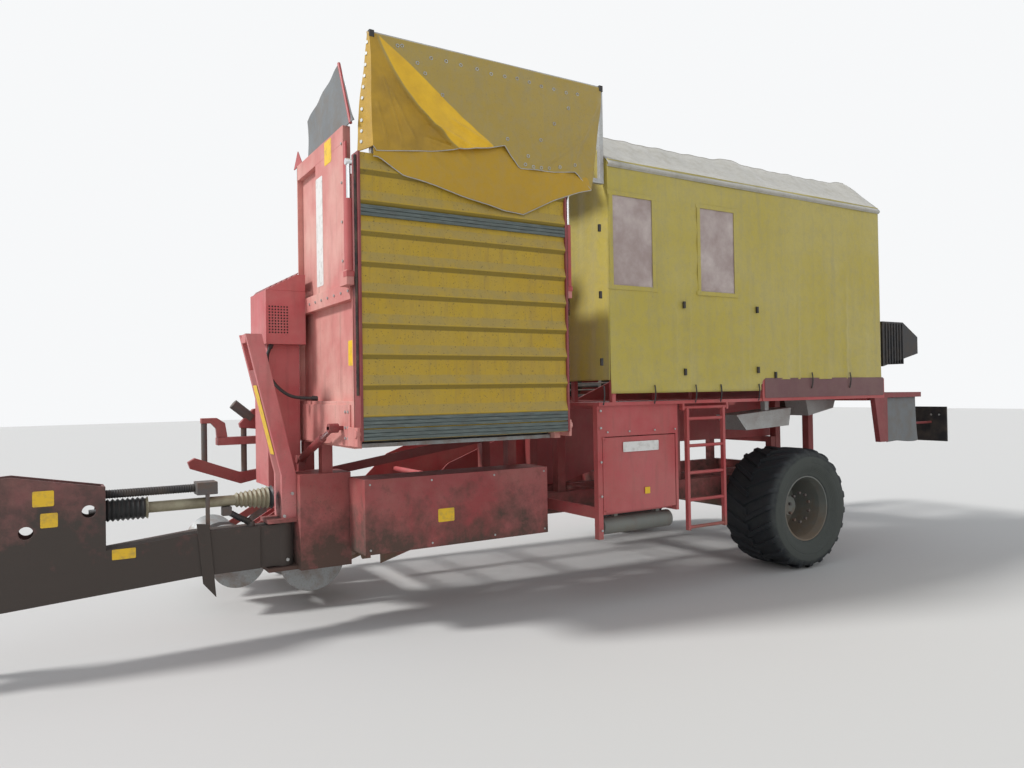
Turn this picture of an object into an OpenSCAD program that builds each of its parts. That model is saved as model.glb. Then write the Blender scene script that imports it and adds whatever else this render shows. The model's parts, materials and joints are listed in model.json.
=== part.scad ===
/* [Overall] */
// Distance from the wheel axle to the tip of the towing eye
hitch_reach = 8050; // [7900:10:8300]
// Distance from the wheel axle to the rearmost drum of the haulm web
tail_reach = 3150; // [3050:10:3400]
// Overall width across the tarpaulin and the right tyre
overall_w = 3280; // [3250:10:3400]
// How far the tarpaulin's belly stands out past the left tyre
tarp_belly = 40; // [20:5:60]

/* [Wheels] */
// Outer radius of both tyres
tyre_r = 638; // [600:1:640]
// Width of the left tyre
left_tyre_w = 670; // [600:5:680]
// Width of the right tyre
right_tyre_w = 450; // [400:5:480]
// Radius of the rims' bead seats
rim_r = 345; // [320:1:360]
// Radius of the wheel spindles
spindle_r = 45; // [40:1:55]
// Radial running clearance of hubs and pins
running_gap = 0.05; // [0.03:0.01:0.08]
// Width of the square axle beam
axle_w = 180; // [150:5:200]
// Radius of the kingpins
kingpin_r = 35; // [30:1:40]
// Steering arm from kingpin to tie rod pin
steer_arm = 220; // [200:5:260]

/* [Main frame] */
// Height of the underside of the long rails
rail_z = 740; // [735:1:760]
// Height of the long rails' section
rail_h = 200; // [160:5:220]
// Width of the long rails' section
rail_w = 120; // [100:5:140]
// Height of the underside of the frame's front head
head_z = 518; // [500:1:530]
// Top of the frame's front head
head_top_z = 1286; // [1250:1:1320]
// Wall of the frame's box sections and plates
plate_t = 12; // [8:1:16]

/* [Drawbar] */
// Distance from the axle to the drawbar's pivot pin
drawbar_pivot_x = 5290; // [5280:1:5300]
// Sideways place of the drawbar's middle
drawbar_y = 530; // [500:5:560]
// Width of the drawbar's beam
drawbar_w = 220; // [180:5:240]
// Radius of the pivot pin
drawbar_pin_r = 40; // [30:1:50]
// Height of the towing eye's middle
hitch_z = 560; // [500:5:600]
// Bore radius of the towing eye
eye_r = 25; // [20:0.5:26]
// Thickness of the towing eye
eye_t = 45; // [35:1:50]
// Distance from the axle to the parking jack
jack_x = 7560; // [7500:10:7600]
// Outer half width of the jack's inner leg
jack_r = 45; // [38:1:50]
// Height of the power input shaft
pto_z = 1100; // [1060:5:1140]
// Sideways place of the power input shaft
pto_y = 496; // [480:1:520]
// Radius of the power input shaft
pto_r = 17.5; // [17:0.1:22]
// Free length of the power input shaft
pto_stub = 80; // [70:1:90]

/* [Bunker] */
// Distance from the axle to the bunker's front wall
bunker_front = 4982; // [4960:1:5000]
// Distance from the axle to the bunker's rear wall
bunker_rear = 3120; // [3100:1:3150]
// Height of the bunker's underside
bunker_z = 1526; // [1500:1:1550]
// Height of the bunker's end walls
bunker_top = 3984; // [3900:1:4000]
// Thickness of the bunker's pressed end walls
bunker_t = 60; // [40:1:80]
// Depth of the folding discharge section, front to back
fold_t = 130; // [100:5:150]
// Top of the folded discharge section
fold_top = 3706; // [3650:1:3750]
// Depth of the pressed ribs of the yellow sheet
rib_h = 22; // [15:1:30]
// Number of pressed ribs
rib_n = 9; // [7:1:10]
// Top of the tarpaulin's frame
tarp_top = 4620; // [4560:5:4640]

/* [Platform and tent] */
// Height of the platform's deck
deck_z = 1824; // [1800:1:1840]
// Height of the tent's eaves
eave_z = 3965; // [3900:5:4000]
// Height of the tent's ridge line
ridge_z = 4368; // [4300:1:4400]
// Distance from the axle forward to the tent's front
tent_front = 2669; // [2650:1:2690]
// Distance from the axle back to the tent's rear
tent_rear = 1296; // [1280:1:1320]
// Thickness of the tent's sheets
sheet_t = 8; // [5:1:10]
// Width and height of a window
window = [500, 840]; // [400:10:900]
// Spacing of the ladder's rungs
rung_gap = 257; // [240:1:270]
// Number of the ladder's rungs
rung_n = 5; // [4:1:5]

/* [Sieve channel] */
// Radius of the webs' end rollers
web_r = 100; // [90:1:105]
// Thickness of a web
web_t = 14; // [10:1:18]
// Thickness of the channel's side walls
wall_t = 10; // [6:1:12]
// Distance from the axle to the intake's pivot
intake_pivot_x = 3950; // [3920:5:3980]
// Height of the intake's pivot
intake_pivot_z = 680; // [660:5:700]
// Radius of the disc coulters
disc_r = 300; // [260:5:310]
// Spacing of the two potato rows
row_gap = 750; // [700:5:760]
// Outer radius of the diabolo rollers
diabolo_r = 240; // [200:5:260]

/* [Hidden] */
$fn = 48;

red = [0.72, 0.22, 0.22];
dark_red = [0.5, 0.15, 0.17];
yellow = [0.78, 0.6, 0.1];
canvas = [0.65, 0.58, 0.2];
steel = [0.45, 0.48, 0.48];
black = [0.08, 0.08, 0.09];

axle_x = (tail_reach - hitch_reach) / 2;
left_y = overall_w / 2 - tarp_belly;
right_y = -overall_w / 2;

// Wheels and steering
left_wheel_y = left_y - left_tyre_w / 2;
right_wheel_y = right_y + right_tyre_w / 2;
kingpin_in = 60;
left_pin_y = left_y - left_tyre_w - kingpin_in;
right_pin_y = right_y + right_tyre_w + kingpin_in;
fork_gap = 0.5;
tie_pin_r = 14;
tie_eye_r = 20;
tie_drop = 42;

// Drawbar head and jack
head_x = 6566;
shaft_r = 20;
shaft_start = 5385;
jack_y = drawbar_y - drawbar_w / 2 - 75;

// Places across the machine
left_rail_y = 600;
inner_rail_y = 100;
right_rail_y = -960;
channel_left_y = 30;
channel_right_y = right_y + 60;
arm_t = 25;
channel_z = 1300;

// Shorthand pieces
module at_axle() translate([axle_x, 0, 0]) children();

// A block given by its limits on each axis
module block(x, y, z)
  translate([x[0], y[0], z[0]]) cube([x[1] - x[0], y[1] - y[0], z[1] - z[0]]);

// A plate cut to a side outline of (x, z) points, from y0 over a thickness t
module side_plate(points, y0, t)
  translate([0, y0 + t, 0]) rotate([90, 0, 0]) linear_extrude(t) polygon(points);

// A plate cut to an end outline of (y, z) points, from x0 over a thickness t
module end_plate(points, x0, t)
  translate([x0, 0, 0]) rotate([90, 0, 90]) linear_extrude(t) polygon(points);

// Round bars along each axis
module rod_x(x0, x1, y, z, r) translate([x0, y, z]) rotate([0, 90, 0]) cylinder(h = x1 - x0, r = r);
module rod_y(x, y0, y1, z, r) translate([x, y0, z]) rotate([-90, 0, 0]) cylinder(h = y1 - y0, r = r);
module rod_z(x, y, z0, z1, r) translate([x, y, z0]) cylinder(h = z1 - z0, r = r);

// A round bar between two points
module strut(p, q, r) {
  d = q - p;
  len = norm(d);
  translate(p) rotate([0, acos(d[2] / len), atan2(d[1], d[0])]) cylinder(h = len, r = r);
}

// A flat round-ended outline between two points, drawn as circles and a rectangle
module capsule(p, q, r) {
  d = q - p;
  translate(p) rotate(atan2(d[1], d[0])) union() {
    circle(r);
    translate([norm(d), 0]) circle(r);
    translate([0, -r]) square([norm(d), 2 * r]);
  }
}

// A belt seen from the side as a ring of even thickness, from y0 to y1
module belt(p, q, r, y0, y1) {
  translate([0, y1, 0]) rotate([90, 0, 0]) linear_extrude(y1 - y0) difference() {
    capsule(p, q, r);
    capsule(p, q, r - web_t);
  }
}

// The two rollers that carry a belt, just inside it
module belt_rollers(p, q, r, y0, y1)
  for (c = [p, q]) rod_y(c[0], y0, y1, c[1], r - web_t - 0.3);

// The same belt and rollers seen from the machine's end, from x0 to x1, with rollers that reach out by a margin
module cross_belt(p, q, r, x0, x1, margin) {
  translate([x0, 0, 0]) rotate([90, 0, 90]) linear_extrude(x1 - x0) difference() {
    capsule(p, q, r);
    capsule(p, q, r - web_t);
  }
  for (c = [p, q]) rod_x(x0 - margin, x1 + margin, c[0], c[1], r - web_t - 0.3);
}

module main_frame() color(red) at_axle() {
  front_x = 5184;
  rail_top = rail_z + rail_h;
  for (y = [left_rail_y, inner_rail_y])
    block([-1290, 4760], [y, y + rail_w], [rail_z, rail_top]);
  block([-1290, 1650], [right_rail_y, right_rail_y + rail_w], [rail_z, rail_top]);
  for (x = [-1290, 1100]) block([x, x + 100], [right_rail_y, left_rail_y + rail_w], [rail_z, rail_top]);
  for (x = [2150, 3250]) block([x, x + 100], [inner_rail_y, left_rail_y + rail_w], [rail_z, rail_top]);
  // Brackets to the sieve channel
  for (x = [2900, 3500]) block([x, x + 100], [channel_left_y + wall_t, inner_rail_y], [rail_z, rail_top]);
  // Front head that carries the drawbar's fork and the mast
  difference() {
    block([4760, front_x], [330, 736], [head_z, head_top_z]);
    block([4760 + plate_t, front_x - plate_t], [330 + plate_t, 736 - plate_t],
          [head_z + plate_t, head_top_z - plate_t]);
  }
  block([4800, 5100], [-250, 330], [950, 1150]);
  for (z = [head_z, 905])
    difference() {
      block([front_x, drawbar_pivot_x + 130], [drawbar_y - 130, drawbar_y + 130], [z, z + 30]);
      rod_z(drawbar_pivot_x, drawbar_y, z - 1, z + 31, drawbar_pin_r + running_gap);
    }
  // Posts that carry the bunker's end walls
  block([4900, 4990], [left_rail_y + 10, left_rail_y + 100], [head_top_z, bunker_z]);
  block([4900, 4990], [inner_rail_y + 10, inner_rail_y + 100], [1150, bunker_z]);
  for (y = [left_rail_y, inner_rail_y])
    block([3110, 3200], [y + 10, y + 100], [rail_top, bunker_z]);
  // Posts that carry the platform
  for (x = [2540, 1000, -1250], y = [left_rail_y, inner_rail_y])
    block([x, x + 90], [y + 10, y + 100], [rail_top, deck_z - 60]);
  // Posts and cross beams that carry the sieve channel
  for (x = [800, -1150]) {
    for (y = [inner_rail_y, right_rail_y]) block([x, x + 80], [y + 10, y + 100], [rail_top, channel_z - 70]);
    block([x, x + 80], [channel_right_y, inner_rail_y + 100], [channel_z - 70, channel_z]);
  }
}

module mast() color(dark_red) at_axle() {
  outline = [[5184, 935], [5299, 935], [5299, head_top_z], [5568, 2429], [5443, 2429], [5184, head_top_z]];
  for (y = [575, 380])
    side_plate(outline, y, 45);
  block([5433, 5560], [425, 575], [2360, 2429]);
}

module gearbox() color(steel) at_axle() {
  block([5184, 5262], [pto_y - 55, pto_y + 60], [1000, 1200]);
  rod_x(5262, 5300, pto_y, pto_z, shaft_r);
}

module side_box() color(red) at_axle() {
  side = 1120;
  difference() {
    block([3043, 4781], [760, side], [653, 1248]);
    block([3053, 4771], [770, side - 10], [663, 1238]);
  }
  for (x = [3200, 4300]) block([x, x + 100], [left_rail_y + rail_w, 760], [rail_z, rail_z + rail_h]);
}

module axle_beam() color(steel) at_axle() {
  half = axle_w / 2;
  left_end = left_pin_y - 50;
  right_end = right_pin_y + 50;
  block([-half, half], [right_end, left_end], [tyre_r - half, tyre_r + half]);
  for (y = [left_pin_y, right_pin_y])
    difference() {
      rod_z(0, y, tyre_r - half, tyre_r + half, 75);
      rod_z(0, y, tyre_r - half - 1, tyre_r + half + 1, kingpin_r + running_gap);
    }
  for (y = [left_rail_y, inner_rail_y, right_rail_y])
    block([-half, half], [y + 10, y + rail_w - 10], [tyre_r + half, rail_z]);
}

// One steering knuckle: yoke plates, kingpin, spindle and steering arm; side is 1 on the left
module knuckle(pin_y, wheel_y, side) color(steel) at_axle() {
  half = axle_w / 2;
  out = pin_y + side * 85;
  inner = pin_y - side * 70;
  outer = out + side * 40;
  arm_z = tyre_r - half - fork_gap - 30;
  for (z = [tyre_r + half + fork_gap, arm_z])
    block([-70, 70], [min(inner, outer), max(inner, outer)], [z, z + 30]);
  rod_z(0, pin_y, arm_z, tyre_r + half + fork_gap + 30, kingpin_r);
  block([-70, 70], [min(out, outer), max(out, outer)], [arm_z, tyre_r + half + fork_gap + 30]);
  rod_y(0, min(out, wheel_y), max(out, wheel_y), tyre_r, spindle_r);
  // Steering arm behind the yoke, with a pin and washer for the tie rod
  block([-steer_arm - 35, -70], [pin_y - 35, pin_y + 35], [arm_z, arm_z + 30]);
  rod_z(-steer_arm, pin_y, arm_z - 60, arm_z, tie_pin_r);
  rod_z(-steer_arm, pin_y, arm_z - 60, arm_z - tie_drop - 0.3, tie_eye_r + 14);
}

module knuckle_left() knuckle(left_pin_y, left_wheel_y, 1);
module knuckle_right() knuckle(right_pin_y, right_wheel_y, -1);

module tie_rod() color(steel) at_axle() {
  z0 = tyre_r - axle_w / 2 - fork_gap - 30 - tie_drop;
  z1 = z0 + 34;
  difference() {
    union() {
      for (y = [left_pin_y, right_pin_y]) rod_z(-steer_arm, y, z0, z1, 42);
      rod_y(-steer_arm, right_pin_y + 30, left_pin_y - 30, z0 + 17, 16);
    }
    for (y = [left_pin_y, right_pin_y]) rod_z(-steer_arm, y, z0 - 1, z1 + 1, tie_eye_r);
  }
}

// Tyre section as (radius, half width) points, turned about the axle
module tyre(y, w) color(black) at_axle() translate([0, y, tyre_r]) rotate([90, 0, 0])
  rotate_extrude($fn = 96) polygon([
    [rim_r + 0.3, -w * 0.42], [rim_r + 0.3, w * 0.42], [rim_r + 40, w * 0.46], [tyre_r * 0.78, w * 0.5],
    [tyre_r - 45, w * 0.49], [tyre_r - 8, w * 0.42], [tyre_r, w * 0.3],
    [tyre_r, -w * 0.3], [tyre_r - 8, -w * 0.42], [tyre_r - 45, -w * 0.49], [tyre_r * 0.78, -w * 0.5],
    [rim_r + 40, -w * 0.46]]);
module tyre_left() tyre(left_wheel_y, left_tyre_w);
module tyre_right() tyre(right_wheel_y, right_tyre_w);

// Rim and hub in one; the dished disc lies on the inner side
module rim(y, w, side) color(steel) at_axle() translate([0, y, tyre_r]) rotate([side * 90, 0, 0]) {
  disc_z = w * 0.5 - 190;
  difference() {
    rotate_extrude($fn = 96) polygon([
      [rim_r, -w * 0.42], [rim_r, w * 0.42], [rim_r - 14, w * 0.42], [rim_r - 30, w * 0.3],
      [rim_r - 30, disc_z + 12], [120, disc_z + 30], [120, disc_z + 60], [spindle_r + running_gap, disc_z + 60],
      [spindle_r + running_gap, -10], [0, -10], [0, -60], [100, -60], [120, -40], [120, disc_z],
      [rim_r - 30, disc_z - 12],
      [rim_r - 30, -w * 0.3], [rim_r - 14, -w * 0.42]]);
    for (a = [0:36:324]) rotate(a) translate([200, 0, disc_z - 60]) cylinder(h = 120, r = 18);
  }
}
module rim_left() rim(left_wheel_y, left_tyre_w, 1);
module rim_right() rim(right_wheel_y, right_tyre_w, -1);

// Bunker: front and rear walls, right wall, floor edges and corner posts
bunker_left = left_y - fold_t - 20;
bunker_right = 64;
rear_wall_top = 3050;
fold_y = left_y - 40;
fold_z = bunker_z + 114;
module bunker_walls() color(red) at_axle() {
  x = [bunker_rear + bunker_t, bunker_front - bunker_t];
  block([x[1], bunker_front], [bunker_right, bunker_left], [bunker_z, bunker_top]);
  block([bunker_rear, x[0]], [bunker_right, bunker_left], [bunker_z, rear_wall_top]);
  block(x, [bunker_right, bunker_right + 20], [bunker_z, bunker_top]);
  block(x, [bunker_right + 20, bunker_right + 120], [bunker_z, bunker_z + 60]);
  // Posts beside the folding section, with its hinge pins
  for (p = [x[1], bunker_rear - 20])
    block([p, p + bunker_t + 20], [bunker_left, left_y], [bunker_z, fold_top]);
  for (p = [[x[0], x[0] + 30], [x[1] - 30, x[1]]]) rod_x(p[0], p[1], fold_y, fold_z, 20);
}

module bunker_web() color(steel) at_axle() {
  x = [bunker_rear + bunker_t, bunker_front - bunker_t];
  y = [bunker_right + 130, bunker_left - 60];
  for (z = [bunker_z, bunker_z + 100]) block([x[0] + 10, x[1] - 10], y, [z, z + 30]);
  for (r = [y[0] + 60, y[1] - 60]) rod_x(x[0], x[1], r, bunker_z + 65, 34.9);
}

module bunker_hood() color(steel) at_axle() {
  for (x = [bunker_front - 40, bunker_rear + 20])
    end_plate([[304, bunker_top], [304, 4320], [1139, 4512], [bunker_left, bunker_top]], x, 20);
  for (y = [[bunker_right, 320], [960, bunker_left]])
    block([bunker_rear + 20, bunker_rear + 40], y, [rear_wall_top, bunker_top]);
  block([bunker_rear + 20, bunker_rear + 40], [bunker_right, bunker_left], [bunker_top - 60, bunker_top]);
}

fold_rod_x = [bunker_front + 50, bunker_rear - 50];
module fold_cylinders() color(red) at_axle() {
  for (x = fold_rod_x) {
    difference() {
      rod_z(x, left_y - 60, 2830, 3360, 26);
      rod_z(x, left_y - 60, 2850, 3361, 16 + running_gap);
    }
    block([x - 30, x + 30], [left_y - 110, left_y - 40], [2790, 2830]);
  }
}

module fold_rods() color("silver") at_axle() {
  for (x = fold_rod_x) {
    rod_z(x, left_y - 60, 3060, 3620, 16);
    rod_x(x - 22, x + 22, left_y - 60, 3630, 24);
  }
}

module discharge_frame() color(yellow) at_axle() {
  x = [bunker_rear + bunker_t + 8, bunker_front - bunker_t - 8];
  y = [left_y - fold_t, left_y - rib_h];
  z = [bunker_z + 60, fold_top];
  difference() {
    for (e = [[x[0], x[0] + 30], [x[1] - 30, x[1]]]) block(e, y, z);
    rod_x(x[0] - 1, x[1] + 1, fold_y, fold_z, 20 + running_gap);
  }
  block([x[0] + 30, x[1] - 30], [y[1] - 8, y[1]], z);
  block([x[0] + 30, x[1] - 30], [y[1] - 48, y[1] - 8], [fold_top - 25, fold_top]);
  pitch = (z[1] - z[0] - 260) / rib_n;
  for (i = [0:rib_n - 1])
    block([x[0] + 30, x[1] - 30], [y[1], left_y], [z[0] + 220 + i * pitch, z[0] + 220 + (i + 0.5) * pitch]);
  for (s = [z[0], z[0] + 95, 3235])
    block([x[0] + 30, x[1] - 30], [y[1], left_y - 5], [s + 5, s + 85]);
}

module discharge_web() color(steel) at_axle() {
  y = left_y - 82;
  cross_belt([y, bunker_z + 130], [y, fold_top - 80], 36,
             bunker_rear + bunker_t + 50, bunker_front - bunker_t - 50, 12);
}

module tarp_frame() color(steel) at_axle() {
  rear = 2688;
  front = 4867;
  for (x = [front - 40, rear])
    block([x, x + 40], [left_y - 70, left_y - 30], [x > bunker_rear ? fold_top : 3760, tarp_top]);
  block([rear, front], [left_y - 70, left_y - 30], [tarp_top - 40, tarp_top]);
  block([rear, front], [left_y - 70, left_y - 30], [3760, 3800]);
  block([3300, 3340], [left_y - 70, left_y - 30], [fold_top, 3760]);
}

module tarp_sheet() color(canvas) at_axle() {
  x = [2690, 4865];
  block(x, [left_y - 29.7, left_y + 20], [fold_top + 4, tarp_top]);
  block(x, [left_y + 0.3, left_y + tarp_belly], [3560, 4000]);
}

// Platform: deck, edge beams and rear posts' head
module platform() color(red) at_axle() {
  under = deck_z - 30;
  block([-1344, 2800], [1000, left_y - 10], [under, deck_z]);
  block([-1344, 2800], [120, 300], [under, deck_z]);
  block([-1344, 710], [left_y - 10, left_y], [under, 2016]);
  for (x = [2540, 1000, -1250]) block([x, x + 90], [120, left_y - 105], [deck_z - 60, under]);
  // Ears that carry the ladder
  for (x = [1200, 1785])
    difference() {
      block([x, x + 25], [left_y - 58, left_y - 10], [ladder_top - 25, under]);
      rod_x(x - 1, x + 26, left_y - 30, ladder_top, 15 + running_gap);
    }
}

ridge_in = 432;
tent_right = -200;
window_z = 2846;
ladder_top = 1755;
door_hinge_x = 2738;
door_pin_r = 8;

// Outline of the tent's end as (y, z) points, in by a distance and down to a height
function tent_end(in, z) = [
  [left_y - in, z], [left_y - in, eave_z - in * 0.4], [left_y - ridge_in, ridge_z - in],
  [tent_right + ridge_in, ridge_z - in], [tent_right + in, eave_z - in * 0.4], [tent_right + in, z]];

module tent_frame() color(red) at_axle() {
  low = 2700;
  for (x = [tent_front - 60, 650, -tent_rear + 20]) {
    difference() {
      end_plate(tent_end(sheet_t + 4, deck_z), x, 40);
      end_plate(tent_end(sheet_t + 44, deck_z - 10), x - 1, 42);
      block([x - 2, x + 42], [tent_right - 10, 400], [deck_z - 1, low]);
    }
    block([x, x + 40], [tent_right + sheet_t + 4, 330], [low, low + 40]);
  }
  block([-tent_rear + 20, tent_front - 20], [tent_right + sheet_t + 4, tent_right + sheet_t + 44], [low, low + 40]);
}

module tent_sides() color(canvas) at_axle() {
  top = eave_z - 1;
  difference() {
    union() {
      block([-tent_rear, tent_front], [left_y - sheet_t, left_y], [2016.3, top]);
      block([720, tent_front], [left_y - sheet_t, left_y], [1901, 2016.3]);
    }
    for (x = [2141, 1070]) block([x, x + window[0]], [left_y - 50, left_y + 50], [window_z, window_z + window[1]]);
  }
  block([-tent_rear, tent_front], [tent_right, tent_right + sheet_t], [2700, top]);
  for (x = [tent_front - sheet_t, -tent_rear])
    difference() {
      end_plate(tent_end(sheet_t, 2020), x, sheet_t);
      block([x - 5, x + 20], [250, 1000], [2640, x > 0 ? 3900 : 3300]);
      block([x - 5, x + 20], [tent_right - 10, 60], [2000, 2700]);
    }
}

module tent_roof() color(canvas) at_axle() {
  x = -tent_rear;
  difference() {
    end_plate(tent_end(0, eave_z - 1), x, tent_front + tent_rear);
    end_plate(tent_end(sheet_t, eave_z - 60), x - 1, tent_front + tent_rear + 2);
  }
}

module tent_windows() color([0.8, 0.8, 0.85, 0.5]) at_axle()
  for (x = [2141, 1070])
    block([x + 0.3, x + window[0] - 0.3], [left_y - 7, left_y - 2], [window_z + 0.3, window_z + window[1] - 0.3]);

module picking_table() color(red) at_axle() {
  table = [[-2000, 2760], [2600, 2860]];
  belt(table[0], table[1], 70, 365, 915);
  belt_rollers(table[0], table[1], 70, 345, 935);
  for (y = [330, 935]) side_plate([[-2050, 2680], [2600, 2780], [2600, 3000], [-2050, 2900]], y, 15);
  for (x = [-1235, 1015, 2555], y = [330, 900])
    block([x, x + 40], [y, y + 50], [deck_z - 30, 2682 + (x + 2050) * 100 / 4650]);
}

module filler_web() color(steel) at_axle() {
  p = [2790, 2760];
  q = [3420, 3560];
  belt(p, q, 70, 370, 910);
  belt_rollers(p, q, 70, 360, 920);
  for (y = [345, 920])
    side_plate([[2700, 2700], [2800, 2670], [2850, 2720], [3490, 3520], [3490, 3640], [3380, 3640], [2700, 2840]], y, 15);
}

// Side outlines of the sieve channel as (x, z) points: the right wall, and the left one that is open for the cross web
channel = [[4230, 330], [4230, 560], [3500, 1230], [2600, 1560], [1300, 2080], [-700, 2560], [-2900, 2560],
           [-3080, 2060], [-2250, 1260], [-1400, channel_z], [900, channel_z], [1000, 1240]];
channel_in = [[4230, 330], [4230, 560], [3500, 1230], [2600, 1560], [1300, 2080], [-700, 2560], [-2900, 2560],
              [-3080, 2060], [-1380, 2060], [-1380, channel_z], [900, channel_z], [1000, 1240]];
module channel_walls() color(red) at_axle() {
  inside = channel_right_y + wall_t;
  side_plate(channel, channel_right_y, wall_t);
  side_plate(channel_in, channel_left_y, wall_t);
  // Cross tubes above the webs and inside the first web's loop
  for (p = [[3400, 1050], [500, 2250], [-1300, 2500], [3700, 597], [3000, 824], [2000, 1149]])
    rod_y(p[0], inside, channel_left_y, p[1], 30);
  // Pins that the intake swings on
  rod_y(intake_pivot_x, channel_left_y + wall_t, channel_left_y + wall_t + 10 + arm_t, intake_pivot_z, 40);
  rod_y(intake_pivot_x, channel_right_y - 10 - arm_t, channel_right_y, intake_pivot_z, 40);
}

module sieve_webs() color(steel) at_axle() {
  y = [channel_right_y + wall_t + 15, channel_left_y - 15];
  for (w = [[[4060, 480], [1010, 1470]], [[730, 1430], [-1200, 1640]]]) {
    belt(w[0], w[1], web_r, y[0], y[1]);
    belt_rollers(w[0], w[1], web_r, channel_right_y + wall_t, channel_left_y);
  }
}

module haulm_web() color(black) at_axle() {
  y = [channel_right_y + wall_t + 15, channel_left_y - 15];
  p = [800, 2000];
  q = [-tail_reach + 150, 2210];
  belt(p, q, 150, y[0], y[1]);
  belt_rollers(p, q, 150, channel_right_y + wall_t, channel_left_y);
}

// Cross web behind the channel and the elevator that lifts to the picking table, in their side frames
module cross_web() color(steel) at_axle() {
  x = [-2080, -1440];
  cross_belt([-1450, 1400], [190, 1756], 80, x[0], x[1], 15);
  cross_belt([190, 1950], [230, 2960], 60, x[0], x[1], 15);
  for (p = [x[0] - 15, x[1]]) {
    end_plate([[channel_right_y + wall_t, 1350], [-1450, 1350], [190, 1700], [290, 1900], [290, 3020], [170, 3020],
               [150, 2400], [40, 2400], [40, 2300], [146, 2300], [130, 1860], [-1450, 1450],
               [channel_right_y + wall_t, 1450]], p, 15);
  }
}

module oil_tower() color(red) at_axle() {
  y = [-250, 544];
  difference() {
    side_plate([[4990, 2371], [5330, 2371], [5330, 2830], [4990, 2976]], y[0], y[1] - y[0]);
    side_plate([[4998, 2379], [5322, 2379], [5322, 2815], [4998, 2955]], y[0] + 8, y[1] - y[0] - 16);
  }
  difference() {
    block([5020, 5300], [-250, 200], [1150, 2371]);
    block([5028, 5292], [-242, 192], [1158, 2363]);
  }
}

module air_tank() color(steel) at_axle() {
  rod_x(1882, 2688, 1430, 712, 78);
  for (x = [2000, 2500]) block([x, x + 40], [1410, 1450], [785, 820]);
}

module side_panel() color(red) at_axle() {
  side = left_y - 40;
  under = deck_z - 30;
  block([2750, 2800], [side - 60, side], [620, under]);
  block([1850, 2750], [side - 60, side], [1520, under]);
  block([1850, 1880], [side - 60, side], [800, 1520]);
  block([1850, 2800], [side - 260, side - 60], [820, 838]);
  for (x = [1850, 2770]) block([x, x + 30], [left_rail_y + rail_w, side - 60], [800, 900]);
  // Eyes that the door's pin turns in
  for (z = [838, 1492])
    difference() {
      union() {
        rod_z(door_hinge_x, side, z, z + 25, 14);
        block([door_hinge_x, 2750], [side - 14, side], [z, z + 25]);
      }
      rod_z(door_hinge_x, side, z - 1, z + 26, door_pin_r + running_gap);
    }
}

module side_door() color(red) at_axle() {
  side = left_y - 40;
  block([1890, door_hinge_x - 20], [side - 40, side], [845, 1510]);
  block([door_hinge_x - 20, door_hinge_x], [side - door_pin_r, side], [868, 1487]);
  rod_z(door_hinge_x, side, 838, 1517, door_pin_r);
}

module ladder() color(red) at_axle() {
  y = [left_y - 50, left_y - 10];
  for (x = [1248, 1728])
    block([x, x + 30], y, [595, ladder_top]);
  for (i = [0:rung_n - 1]) rod_x(1278, 1728, left_y - 30, 620 + i * rung_gap, 16);
  rod_x(1205, 1805, left_y - 30, ladder_top, 15);
}

module trash_chutes() color(steel) at_axle() {
  side_plate([[547, 1640], [-342, 1700], [-300, 1500], [400, 1470]], 800, 300);
  side_plate([[-600, 1780], [-1140, 1780], [-1100, 1680], [-650, 1600]], 800, 300);
  for (x = [0, -900]) block([x, x + 60], [1010, 1070], [1670, deck_z - 30]);
}

module rear_posts() color(dark_red) at_axle() {
  under = deck_z - 30;
  side_plate([[-1160, under], [-1400, under], [-1400, 1286], [-1250, 1286]], left_y - 60, 60);
  block([-2080, -1344.3], [left_y - 60, left_y], [under, 1851]);
  block([-2080, -1344.3], [940, 1000], [under, 1851]);
  for (x = [-2080, -1404.3]) block([x, x + 60], [940, left_y], [under, 1851]);
  block([-1560, -1500], [1100, 1160], [1851, 2162]);
  block([-1560, -1500], [1000, 1160], [1811, 1851]);
  // Bent pipe that carries the left light board
  rod_z(-2062, left_y - 200, 1445, 1800, 17);
  rod_x(-2620, -2060, left_y - 200, 1465, 15);
  // Arm that carries the right light board
  block([-2620, -2400], [channel_right_y + wall_t, channel_right_y + wall_t + 40], [1700, 1740]);
}

module rubber_curtain() color(black) at_axle() {
  top = deck_z - 30.3;
  block([-2040, -2024], [left_y - 380, left_y - 70], [1277, top]);
  block([-2018, -1404], [left_y - 46, left_y - 30], [1277, top]);
}

module rear_cover() color(black) at_axle()
  side_plate([[-1490, 2160], [-1490, 2690], [-1900, 2690], [-2200, 2520], [-2200, 2320]], 1000, 500);

module light_boards() color(black) at_axle() {
  block([-2640, -2620], [left_y - 400, left_y], [1230, 1660]);
  block([-2640, -2620], [channel_right_y + wall_t, channel_right_y + 410], [1500, 1930]);
}

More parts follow.
